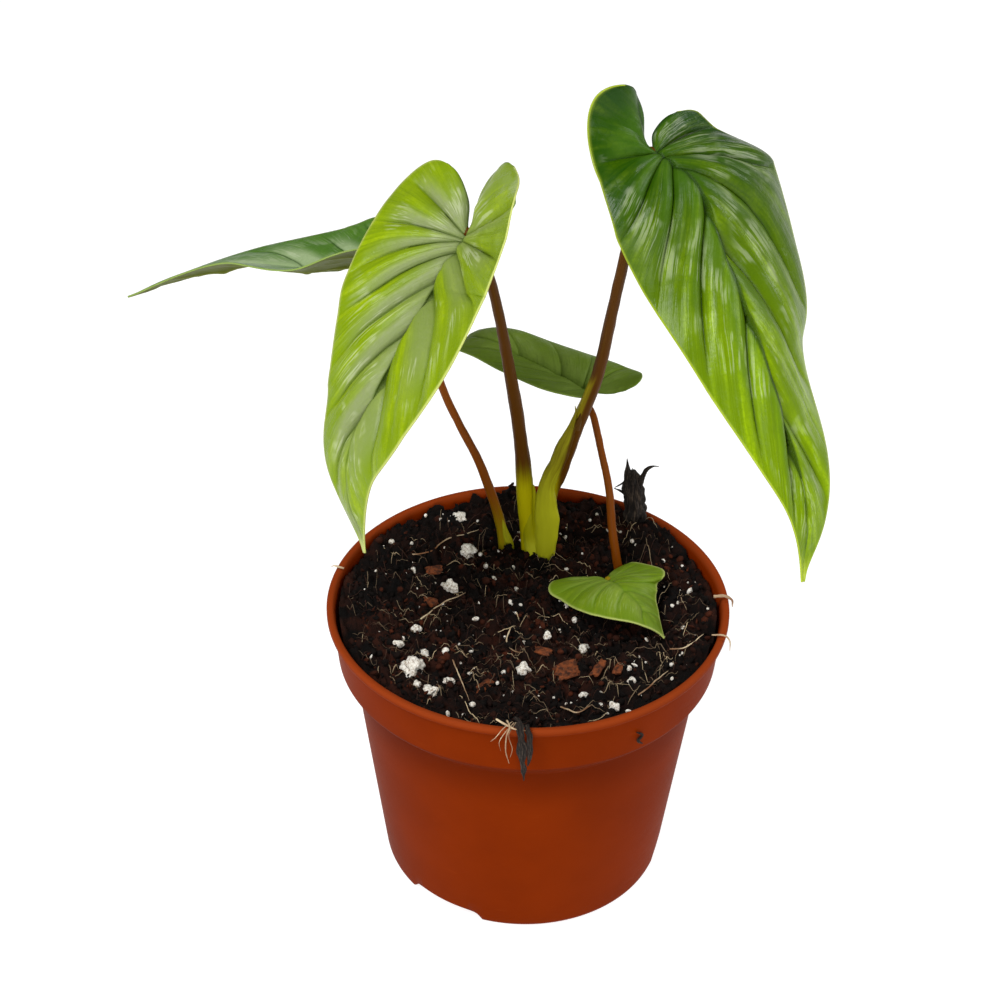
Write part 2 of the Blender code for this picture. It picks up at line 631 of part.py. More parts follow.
def make_bark():
    """Flat chips with bevelled edges that lie on the mix."""
    for k, (x, y, length, breadth, turn) in enumerate(BARK, start=1):
        shape = bmesh.new()
        bmesh.ops.create_cube(shape, size=1.0)
        bmesh.ops.bevel(shape, geom=shape.edges[:], offset=0.18, segments=1, affect="EDGES")
        cosine = math.cos(math.radians(turn))
        sine = math.sin(math.radians(turn))
        for vertex in shape.verts:
            a = vertex.co.x * length
            b = vertex.co.y * breadth * (1 + 0.3 * vertex.co.x)
            px = x + a * cosine - b * sine
            py = y + a * sine + b * cosine
            height = float(mix_height(px, py)) + REST_GAP + (vertex.co.z + 0.5) * BARK_THICKNESS
            vertex.co = (px * MM, py * MM, height * MM)
        add_bmesh(f"bark_chip_{k:02d}", shape, "bark")


def make_rootlets():
    for k, route in enumerate(ROOTLETS, start=1):
        flat = smooth_curve([(*point, 0) for point in route], 9)
        flat[:, 2] = mix_height(flat[:, 0], flat[:, 1]) + REST_GAP + ROOTLET_RADIUS
        radii = (ROOTLET_RADIUS, ROOTLET_RADIUS, 0.5 * ROOTLET_RADIUS)
        tube(f"rootlet_{k:02d}", flat, radii, "rootlet", sides=6, rings=9, across=(0, 0, 1))


def main():
    clear_scene()
    make_pot()
    make_potting_mix()
    tube("rootstock", ROOTSTOCK, ROOTSTOCK_RADII, "young_stem", breadth=ROOTSTOCK_BREADTH, rings=9)
    for name in LEAVES:
        make_blade(name)
        stalk(name, f"{name}_stalk")
    tube("right_leaf_sheath", RIGHT_SHEATH, RIGHT_SHEATH_RADII, "young_stem", breadth=RIGHT_SHEATH_BREADTH)
    left_sheath("left_leaf_sheath")
    make_stump()
    make_rim_scrap()
    tube("rim_root", RIM_ROOT, (RIM_ROOT_RADIUS,) * 3, "rootlet", sides=6, rings=9)
    make_perlite()
    make_bark()
    make_rootlets()


main()
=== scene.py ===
# %% [markdown]
# # A philodendron in a nursery pot
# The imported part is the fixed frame: plain solids in the right places. This script dresses it.
# Each step makes one kind of piece as a surface worked out from a formula, gives it a finish
# made of nodes, and lets it stand for the plain solids that it covers.

import math

import bpy
import numpy as np
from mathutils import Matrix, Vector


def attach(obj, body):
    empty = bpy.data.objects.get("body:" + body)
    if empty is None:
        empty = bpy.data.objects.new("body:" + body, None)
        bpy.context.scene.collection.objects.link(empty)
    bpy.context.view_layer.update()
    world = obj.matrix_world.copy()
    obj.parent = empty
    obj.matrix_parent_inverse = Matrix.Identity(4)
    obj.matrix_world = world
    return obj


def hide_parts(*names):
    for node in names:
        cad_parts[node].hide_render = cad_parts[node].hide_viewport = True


MM = 0.001
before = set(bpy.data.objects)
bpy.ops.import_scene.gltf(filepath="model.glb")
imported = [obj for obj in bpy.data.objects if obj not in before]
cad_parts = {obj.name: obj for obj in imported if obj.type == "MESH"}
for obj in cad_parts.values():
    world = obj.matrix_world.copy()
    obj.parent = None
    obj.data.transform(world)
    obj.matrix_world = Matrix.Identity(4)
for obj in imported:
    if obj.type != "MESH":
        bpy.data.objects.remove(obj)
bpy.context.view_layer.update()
print("plain solids:", len(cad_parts))

# %% [markdown]
# ## Curves
# Stalks, midribs and rootlets all follow a line through a handful of points. A Catmull-Rom
# curve passes through every point that it is given, so the points can be read off the plant.


# %% Curves through points
CURVE_FINENESS = 60


def unit(vectors):
    """Each vector divided by its own length."""
    return vectors / np.linalg.norm(vectors, axis=-1, keepdims=True)


def resample(points, count):
    """The same line with points at even distances along it."""
    steps = np.linalg.norm(np.diff(points, axis=0), axis=1)
    travelled = np.concatenate([[0], np.cumsum(steps)])
    wanted = np.linspace(0, travelled[-1], count)
    return np.stack([np.interp(wanted, travelled, axis) for axis in points.T], axis=1)


def smooth_curve(points, count):
    """Between two points the curve is a cubic. Its slope at each point is half the way from the
    point before to the point after."""
    points = np.asarray(points, float)
    ends = np.vstack([2 * points[0] - points[1], points, 2 * points[-1] - points[-2]])
    place = np.linspace(0, len(points) - 1, CURVE_FINENESS * len(points))
    first = np.minimum(place.astype(int), len(points) - 2)
    part = (place - first)[:, None]
    a, b, c, d = (ends[first + k] for k in range(4))
    square, cube = 2 * a - 5 * b + 4 * c - d, 3 * b - a - 3 * c + d
    return resample(b + 0.5 * ((c - a) + (square + cube * part) * part) * part, count)


def ease(where, keys, values):
    """Values between keys by cubic pieces whose slopes follow their neighbours, and the end
    values beyond the keys."""
    keys = np.asarray(keys, float)
    values = np.asarray(values, float)
    slopes = np.gradient(values, keys)
    where = np.clip(where, keys[0], keys[-1])
    first = np.clip(np.searchsorted(keys, where, side="right") - 1, 0, len(keys) - 2)
    span = keys[first + 1] - keys[first]
    part = (where - keys[first]) / span
    back = 1 - part
    rise = part * part * (3 - 2 * part)
    bow = part * back * (back * slopes[first] - part * slopes[first + 1]) * span
    return values[first] * (1 - rise) + values[first + 1] * rise + bow


def even_keys(values):
    return np.linspace(0, 1, len(values))


def climb(value, low, high):
    """0 below low, 1 above high and a smooth S between; low may be the larger one."""
    part = np.clip((value - low) / (high - low), 0, 1)
    return part * part * (3 - 2 * part)


def rumple(points, size, seed, waves=28):
    """A smooth random field of about -1 to 1: a sum of sine waves in random directions, each
    about `size` long."""
    random = np.random.default_rng(seed)
    way = unit(random.normal(size=(waves, points.shape[-1])))
    way = way * random.uniform(0.6, 1.5, (waves, 1)) * 2 * math.pi / size
    phase = random.uniform(0, 2 * math.pi, waves)
    return np.sin(points @ way.T + phase).sum(axis=-1) / math.sqrt(waves)


arch = smooth_curve([(0, 0, 0), (1, 0, 1), (2, 0, 0)], 201)
print("a curve through 3 points, top and length:", arch[:, 2].max().round(3),
      np.linalg.norm(np.diff(arch, axis=0), axis=1).sum().round(3))

# %% [markdown]
# ## From a grid to a piece
# Every surface here is a grid of points: rows one way, columns the other. Whole arrays of
# points and faces go into the mesh at once. What the finish needs to know at each point,
# such as how near a vein it is, is stored beside the points as a named attribute.


# %% Grids into meshes
def grid_quads(rows, columns, around=False):
    """Quads between neighbouring rows; around joins the last column to the first."""
    r = np.arange(rows - 1)[:, None]
    c = np.arange(columns if around else columns - 1)[None]
    d = (c + 1) % columns
    corners = [r * columns + c, r * columns + d, (r + 1) * columns + d, (r + 1) * columns + c]
    return np.stack(corners, axis=-1).reshape(-1, 4)


def ring_faces(rings, sides):
    """Quads between rings, and a fan of triangles to a pole at each end. Poles come last."""
    c = np.arange(sides)
    d = (c + 1) % sides
    last = (rings - 1) * sides
    low = np.stack([np.full(sides, rings * sides), d, c], axis=1)
    high = np.stack([np.full(sides, rings * sides + 1), last + c, last + d], axis=1)
    return [grid_quads(rings, sides, around=True), np.concatenate([low, high])]


print("faces of a grid of 3 by 4 points, open and closed:",
      len(grid_quads(3, 4)), len(grid_quads(3, 4, around=True)))


# %% A new piece
def new_piece(name, points, faces, finishes, stands_for=(), marks=None):
    """A mesh from points in millimetres and lists of faces, fixed to the frame's one body."""
    points = np.asarray(points, float).reshape(-1, 3)
    faces = [part for part in faces if len(part)]
    corners = np.concatenate([part.ravel() for part in faces])
    sizes = np.concatenate([np.full(len(part), part.shape[1]) for part in faces])
    mesh = bpy.data.meshes.new(name)
    mesh.vertices.add(len(points))
    mesh.vertices.foreach_set("co", (points * MM).ravel())
    mesh.loops.add(len(corners))
    mesh.loops.foreach_set("vertex_index", corners)
    mesh.polygons.add(len(sizes))
    mesh.polygons.foreach_set("loop_start", np.concatenate([[0], np.cumsum(sizes)[:-1]]))
    mesh.update(calc_edges=True)
    for title, values in (marks or {}).items():
        mesh.attributes.new(title, "FLOAT_VECTOR", "POINT")
        mesh.attributes[title].data.foreach_set("vector", np.asarray(values, np.float32).ravel())
    for finish in finishes:
        mesh.materials.append(finish.material)
    mesh.shade_smooth()
    made = bpy.data.objects.new(name, mesh)
    bpy.context.scene.collection.objects.link(made)
    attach(made, "root")
    if stands_for:
        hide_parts(*stands_for)
    print(f"{name}: {len(points)} points, {len(sizes)} faces")
    return made


# %% [markdown]
# ## Shader maths
# A finish is a Principled shader fed by a few patterns. `Value` wraps one socket of the node
# tree, so that `1 - mask * 0.5` adds the Math nodes that work it out. `Finish` adds any other
# node: its settings first, then what goes into its sockets.


# %% Values and finishes
class Value:
    """A number, colour or vector inside a finish."""

    def __init__(self, finish, socket):
        self.finish = finish
        self.socket = socket

    def maths(self, operation, *operands):
        node = self.finish.node("Math", {"operation": operation}, dict(enumerate(operands)))
        return Value(self.finish, node.outputs[0])

    def __add__(self, other):
        return self.maths("ADD", self, other)

    def __sub__(self, other):
        return self.maths("SUBTRACT", self, other)

    def __rsub__(self, other):
        return self.maths("SUBTRACT", other, self)

    def __mul__(self, other):
        return self.maths("MULTIPLY", self, other)

    __radd__ = __add__
    __rmul__ = __mul__

    def climb(self, low, high):
        """0 at low, 1 at high, smooth between."""
        sockets = {"Value": self, "From Min": low, "From Max": high}
        node = self.finish.node("MapRange", {"interpolation_type": "SMOOTHSTEP"}, sockets)
        return Value(self.finish, node.outputs[0])


class Finish:
    """A Principled material."""

    def __init__(self, name, **fixed):
        self.material = bpy.data.materials.new(name)
        self.material.use_nodes = True
        self.tree = self.material.node_tree
        self.shader = self.tree.nodes["Principled BSDF"]
        for title, value in fixed.items():
            self.feed(self.shader.inputs[title.replace("_", " ")], value)

    def node(self, kind, settings=None, sockets=None):
        """A node of this kind: its settings first, then its sockets."""
        made = self.tree.nodes.new("ShaderNode" + kind)
        for title, value in (settings or {}).items():
            setattr(made, title, value)
        for title, value in (sockets or {}).items():
            self.feed(made.inputs[title], value)
        return made

    def feed(self, socket, value):
        if isinstance(value, Value):
            self.tree.links.new(value.socket, socket)
        else:
            socket.default_value = value

    def mark(self, title):
        """The three numbers stored at each point under this title."""
        vector = self.node("Attribute", {"attribute_name": title}).outputs["Vector"]
        split = self.node("SeparateXYZ", sockets={"Vector": Value(self, vector)})
        return [Value(self, socket) for socket in split.outputs]

    def vector(self, x, y, z):
        return Value(self, self.node("CombineXYZ", sockets={"X": x, "Y": y, "Z": z}).outputs[0])

    def place(self):
        return Value(self, self.node("TexCoord").outputs["Object"])

    def noise(self, where, scale, detail=3.0, roughness=0.55):
        """Cloudy noise from 0 to 1 at a position; scale counts bumps per metre or per unit."""
        sockets = {"Vector": where, "Scale": scale, "Detail": detail, "Roughness": roughness}
        return Value(self, self.node("TexNoise", sockets=sockets).outputs[0])

    def cells(self, where, scale):
        """Distance to the nearest edge of a net of irregular cells."""
        settings = {"feature": "DISTANCE_TO_EDGE"}
        node = self.node("TexVoronoi", settings, {"Vector": where, "Scale": scale})
        return Value(self, node.outputs["Distance"])

    def stretched(self, where, scale):
        """The position with each axis multiplied, which draws noise out or squeezes it."""
        node = self.node("VectorMath", {"operation": "MULTIPLY"}, {0: where, 1: scale})
        return Value(self, node.outputs[0])

    def mix(self, share, first, second):
        """The first colour where share is 0, the second where it is 1."""
        node = self.node("Mix", {"data_type": "RGBA"}, {0: share, 6: first, 7: second})
        return Value(self, node.outputs[2])

    def bump(self, height, distance, strength=1.0):
        sockets = {"Height": height, "Distance": distance, "Strength": strength}
        return Value(self, self.node("Bump", sockets=sockets).outputs[0])

    def put(self, **fed):
        """Feeds the shader's own sockets, with _ for a space in their names."""
        for title, value in fed.items():
            self.feed(self.shader.inputs[title.replace("_", " ")], value)
        return self


def paint(red, green, blue):
    """A colour given as 0 to 255 display values, made linear as a shader wants it."""
    shown = np.array([red, green, blue]) / 255
    linear = np.where(shown <= 0.04045, shown / 12.92, ((shown + 0.055) / 1.055) ** 2.4)
    return (*linear.tolist(), 1.0)


print("half display grey as the shader has it:", paint(128, 128, 128)[0])

# %% [markdown]
# ## The leaf blade
# A blade is a sheet. Its flat pattern is half a heart on each side of the midrib. The rows of
# the grid are the side veins: each leaves the midrib, bows towards the tip and ends on the
# margin, so a groove along a vein is a groove along a row and stays sharp.

# %% The flat half of a leaf
HEART = (
    (0.010, -0.02), (0.05, -0.10), (0.14, -0.17), (0.24, -0.15), (0.305, -0.04), (0.315, 0.12),
    (0.285, 0.32), (0.225, 0.52), (0.145, 0.72), (0.06, 0.88), (0.018, 0.96), (0.006, 1.0),
)
HEART_HALF_WIDTH = 0.315
HEART_LOBE = 0.17
SHAPE_KEYS = (-0.2, 0.25, 0.6, 1.0)
FAN_SHARE = 0.3
FAN_LENGTH = 0.03
NOTCH_SHARE = 0.3
ROW_BOW = (0.5, 0.3)
MARGIN_POINTS = 600
BLADE_ROWS = 230
BLADE_COLUMNS = 46


def flat_half(side, slant):
    """Rows of points (across, along) in leaf lengths.

    Each row is a quadratic arc from the midrib to the margin. The foot of the arc moves along
    the midrib as a power of its place on the margin, and a larger slant makes steeper veins.
    Near the notch a fading share of the gap between the notch's edge and the first arc is added.
    A side's `inner` numbers multiply how far across the first three points of the lobe lie:
    a negative one takes the lobe's inner edge past the midrib, which closes the notch.
    """
    outline = np.array(HEART)
    lobe = outline[:, 1] < 0
    outline[:, 0] *= side["width"] / HEART_HALF_WIDTH
    outline[lobe] *= (side["narrow"], side["lobe"] / HEART_LOBE)
    outline[:3, 0] *= side.get("inner", (1.0, 1.0, 1.0))
    edge = smooth_curve(outline, MARGIN_POINTS)
    lobe_end = int(np.argmin(edge[:, 1]))
    notch = resample(np.vstack([(0.0, 0.0), edge[: lobe_end + 1]]), BLADE_COLUMNS)
    rim = resample(edge[lobe_end:], BLADE_ROWS)[:, None]
    part = np.linspace(0, 1, BLADE_ROWS)
    start = FAN_LENGTH * np.clip(part / FAN_SHARE, 0, 1)
    start = start + (1 - FAN_LENGTH) * np.clip((part - FAN_SHARE) / (1 - FAN_SHARE), 0, 1) ** slant
    spine = np.stack([0 * start, start], axis=1)[:, None]
    bow = spine + (rim - spine) * ROW_BOW
    v = np.linspace(0, 1, BLADE_COLUMNS)[:, None]
    grid = (1 - v) ** 2 * spine + 2 * v * (1 - v) * bow + v**2 * rim
    hug = np.clip(1 - part / NOTCH_SHARE, 0, 1) ** 2
    return grid + hug[:, None, None] * (notch - grid[0])


# %% [markdown]
# ## Bending the pattern
# The midrib is a curve in space, and the leaf faces a little differently at its stalk, middle
# and tip. Across the leaf the sheet is an arc: it leaves the midrib at a fold angle and curls
# on its way to the margin. The lobes behind the stalk bend back by their own pitch.


# %% From the flat half to space
def leaf_frame(leaf, samples=240):
    """The midrib, and the unit vectors along it, to its right and out of the leaf's face."""
    middle = smooth_curve(leaf["route"], samples)
    along = unit(np.gradient(middle, axis=0))
    faces = np.array(leaf["faces"])
    place = np.linspace(0, 1, samples)
    hint = np.stack([ease(place, (0, 0.5, 1), faces[:, k]) for k in range(3)], axis=1)
    right = unit(np.cross(along, hint))
    return middle, along, right, np.cross(right, along)


def bent_half(leaf, side_name):
    """The half in space, with each point's distance from the midrib and place along it.

    A point at distance x moves along an arc: its reach to the side and its lift off the face
    are the integrals of the cosine and the sine of fold + curl * x. Behind the stalk, where
    the place is negative, the sheet first follows an arc down by the pitch.
    """
    side = leaf[side_name]
    flat = flat_half(side, side["slant"])
    middle, along, right, out = leaf_frame(leaf)
    length = np.linalg.norm(np.diff(middle, axis=0), axis=1).sum()
    x = flat[..., 0] * length
    y = flat[..., 1]
    place = np.linspace(0, 1, len(middle))
    c, t, s, n = (
        np.stack([np.interp(y, place, field[:, k]) for k in range(3)], axis=-1)
        for field in (middle, along, right, out)
    )
    bend = math.radians(side["pitch"]) / (side["lobe"] * length)
    angle = (bend * np.clip(-y, 0, None) * length)[..., None]
    c = c - t * np.sin(angle) / bend + n * (1 - np.cos(angle)) / bend
    n = n * np.cos(angle) + t * np.sin(angle)
    fold = np.radians(ease(y, SHAPE_KEYS, side["fold"]))
    curl = np.radians(ease(y, SHAPE_KEYS, side["curl"])) / (side["width"] * length)
    curl = np.where(np.abs(curl) < 1e-6, 1e-6, curl)
    reach = (np.sin(fold + curl * x) - np.sin(fold)) / curl
    lift = (np.cos(fold) - np.cos(fold + curl * x)) / curl
    way = 1 if side_name == "right" else -1
    return c + way * reach[..., None] * s + lift[..., None] * n, x, y


# %% [markdown]
# ## Veins and quilting
# Between two side veins the blade swells like a quilt, and the veins themselves are sunken
# creases. The swelling is the sine of the place between two veins, raised to a power below
# one so that the grooves are sharp, and it grows with the width of the panel.

# %% Relief and marks
BLADE_THICKNESS = 0.45
QUILT_LIMIT = 2.8
VEIN_DEPTH, VEIN_BREADTH = 0.25, 0.5
MIDRIB_DEPTH, MIDRIB_BREADTH = 0.55, 1.1


def hump(distance, breadth):
    """A bell: 1 at no distance, fading as e to the power of minus the square of the distance."""
    return np.exp(-((distance / breadth) ** 2))


def blade_surface(leaf):
    """The whole sheet as one grid, from the left margin to the right one.

    Beside the points it holds v, the share across; w, which counts the veins and is whole on
    each; y, the share along; panel, the width between two veins; and the distances in
    millimetres to the nearest vein, the midrib and the margin.
    """
    halves = []
    for side_name in ("left", "right"):
        points, x, y = bent_half(leaf, side_name)
        part = np.linspace(0, 1, BLADE_ROWS)
        veins = leaf[side_name]["veins"]
        index = np.interp(part, (0, *veins, 1), np.arange(len(veins) + 2))
        v = np.broadcast_to(np.linspace(0, 1, BLADE_COLUMNS), x.shape)
        w = np.broadcast_to(index[:, None], x.shape)
        row_step = np.gradient(points, axis=0)
        row_way = unit(np.gradient(points, axis=1))
        side_step = row_step - (row_step * row_way).sum(-1, keepdims=True) * row_way
        panel = np.linalg.norm(side_step, axis=-1) / np.maximum(np.gradient(w, axis=0), 1e-4)
        near_vein = panel * np.abs(w - np.round(w))
        edge = np.linalg.norm(points - points[:, -1:], axis=-1)
        halves.append({"points": points, "v": v, "w": w, "y": y, "panel": panel,
                       "near": near_vein, "rib": x, "edge": edge})
    left, right = halves
    grid = {key: np.concatenate([left[key][:, :0:-1], right[key]], axis=1) for key in left}
    side = np.concatenate([-np.ones(BLADE_COLUMNS - 1), np.ones(BLADE_COLUMNS)])
    grid["side"] = np.broadcast_to(side, grid["v"].shape)
    return grid


def quilted(leaf, grid):
    """Moves the sheet along its own normal by the quilting, less the creases of its veins."""
    points = grid["points"]
    normal = unit(np.cross(np.gradient(points, axis=1), np.gradient(points, axis=0)) + 1e-12)
    wave = math.pi * grid["w"]
    swell = np.abs(np.sin(wave)) ** 0.7 + 0.22 * np.abs(np.sin(2 * wave))
    inner = 1 - grid["v"] ** 3
    height = np.minimum(leaf["quilt"] * grid["panel"], QUILT_LIMIT) * inner
    fade = 1 - climb(grid["y"], 0.85, 1.0)
    crease = VEIN_DEPTH * hump(grid["near"], VEIN_BREADTH) * inner
    thinning = 1 - 0.7 * np.clip(grid["y"], 0, 1)
    midrib = MIDRIB_DEPTH * hump(grid["rib"], MIDRIB_BREADTH) * thinning
    wrinkle = 0.10 * rumple(points, 9, 3) + 0.04 * rumple(points, 3.2, 4)
    relief = (height * (swell - 0.35) - crease - midrib) * fade
    relief = relief + wrinkle * climb(grid["edge"], 0, 3)
    return points + normal * relief[..., None]


def blade_marks(grid):
    """Painted sheen, crease and edge, each from 0 to 1; and vein number, share across, share
    along. The painted sheen is a silver painted reflection, and the crease mark is where painted
    shade goes.

    The painted sheen lies on the flank of each panel nearer the tip, in a band along one side of
    the midrib and round the stalk's end. One side of the leaf gets more of this painted
    reflection than the other.
    """
    right = grid["side"] > 0
    q = grid["w"] % 1
    flank = np.where(right, climb(q, 0.42, 0.85), climb(q, 0.58, 0.15))
    # Silver painted reflection on one flank of each panel, stronger on one side of the leaf.
    painted_sheen = flank * (1 - climb(grid["v"], 0.45, 0.95)) * climb(grid["near"], 0.0, 0.5)
    band = hump(grid["rib"], 5.5) * (1 - climb(grid["y"], 0.45, 0.9)) * right
    sinus = hump(grid["rib"], 9.0) * hump(grid["y"], 0.10)
    painted_sheen = np.clip(painted_sheen + 0.9 * band + 0.8 * sinus, 0, 1) * np.where(right, 1, 0.6)
    # Where painted shade darkens the creases and the midrib.
    crease = hump(grid["near"], 0.38) * (1 - climb(grid["v"], 0.7, 0.97))
    crease = np.maximum(crease, hump(grid["rib"], 0.45))
    crease = crease * (1 - climb(grid["y"], 0.8, 0.97))
    rim = np.maximum(hump(grid["edge"], 0.45), climb(grid["y"], 0.93, 1.0))
    first = np.stack([painted_sheen, crease, rim], axis=-1)
    second = np.stack([grid["w"] * grid["side"], grid["v"], grid["y"]], axis=-1)
    return {"leaf_marks": first.reshape(-1, 3), "leaf_place": second.reshape(-1, 3)}


# %% [markdown]
# ## The leaf's finish
# The upper skin is glossy. Lime green is painted on the swells as light and darker green in
# the valleys as shade, and the skin is darker where it is older. A silver-grey painted
# reflection lies beside the veins, and painted shade darkens the creases. The gloss breaks up
# into fine lines that run with the veins, so the bump pattern is noise stretched along the
# rows; pale painted highlight streaks follow the same lines.


# %% The upper and lower skins
# Pale colour painted into the leaf as highlight streaks.
PAINTED_HIGHLIGHT = paint(238, 242, 216)


def leaf_skin(name, colours, painted_sheen_share=0.8, age=(-1.0, -0.5), gloss=0.34, painted_shine=0.5):
    """The upper skin from five colours: old green, new green, silver painted reflection, painted
    crease shade and rim.

    age gives the shares along the leaf where the old green begins to fade and where it has
    gone, gloss is the roughness and the shine number the strength of the pale streaks painted
    as highlights.
    """
    dark, lime, painted_sheen, crease, rim = (paint(*colour) for colour in colours)
    skin = Finish(name, Specular_IOR_Level=0.16)
    painted_sheen_mark, crease_mark, rim_mark = skin.mark("leaf_marks")
    vein, across, along = skin.mark("leaf_place")
    place = skin.place()
    swell = (vein * math.pi).maths("SINE").maths("ABSOLUTE")
    cloud = skin.noise(place, 55.0, 3.0)
    grain = skin.noise(place, 900.0, 2.0)
    lines = skin.noise(skin.vector(vein * 15.0, across * 2.6, along * 2.0), 1.0, 2.0, 0.6)
    bands = skin.noise(skin.vector(vein * 5.0, across * 1.2, along * 2.0), 1.0, 2.0, 0.6)
    net = skin.cells(place, 560.0)
    fresh = (along + cloud * 0.3 - 0.15).climb(*age)
    # Painted light and shade: the valley colour is darker green as shade and the ridge colour lime
    # as light, mixed by how high the swell is.
    shaded_valley = skin.mix(fresh * 0.3, dark, lime)
    lit_ridge = skin.mix(fresh * 0.75 + 0.25, dark, lime)
    swell_light = (swell * 1.1 + cloud * 0.3 + bands * 1.0 + lines * 0.3 - 1.2).climb(0.0, 0.8)
    green = skin.mix(swell_light, shaded_valley, lit_ridge)
    green = skin.mix(net.climb(0.2, 0.02) * 0.3, green, shaded_valley)
    # A silver painted reflection laid over the green.
    green = skin.mix(painted_sheen_mark * painted_sheen_share * (grain * 0.5 + 0.7), green, painted_sheen)
    # Painted highlight: pale streaks along the swells.
    painted_streak = lines.climb(0.5, 0.58) * cloud.climb(0.5, 0.58) * swell.climb(0.3, 0.9)
    painted_streak = painted_streak * across.climb(0.12, 0.3) * across.climb(0.95, 0.7) * painted_shine
    green = skin.mix(painted_streak, green, PAINTED_HIGHLIGHT)
    # Painted shade in the creases.
    green = skin.mix(crease_mark * 0.8, green, crease)
    green = skin.mix(rim_mark * 0.65, green, rim)
    roughness = (lines * 0.3 + grain * 0.1 + gloss - 0.2) + painted_sheen_mark * 0.1
    normal = skin.bump(lines * 0.9 + net * 0.35 + grain * 0.15, 0.0003, 0.7)
    return skin.put(Base_Color=green, Roughness=roughness, Normal=normal)


def under_skin(name, shade, vein_colour):
    """The underside is duller, with paler veins."""
    shade, vein_colour = paint(*shade), paint(*vein_colour)
    skin = Finish(name, Specular_IOR_Level=0.15)
    _, crease_mark, rim_mark = skin.mark("leaf_marks")
    place = skin.place()
    cloud = skin.noise(place, 70.0, 4.0)
    darker = tuple(0.7 * part for part in shade[:3]) + (1.0,)
    green = skin.mix(cloud, darker, shade)
    green = skin.mix(crease_mark * 0.7, green, vein_colour)
    green = skin.mix(rim_mark * 0.6, green, vein_colour)
    normal = skin.bump(skin.cells(place, 620.0), 0.00015, 0.4)
    return skin.put(Base_Color=green, Roughness=0.5 + 0.15 * cloud, Normal=normal)


# %% [markdown]
# ## Five leaves
# Each leaf has its midrib's route, the way its face looks, and the shape of its two sides.
# The new leaf in front is lime with a silver painted reflection; the one on the right is dark
# at its stalk and lime towards the tip; the far ones are bluer, and the small one by the rim is
# matte.

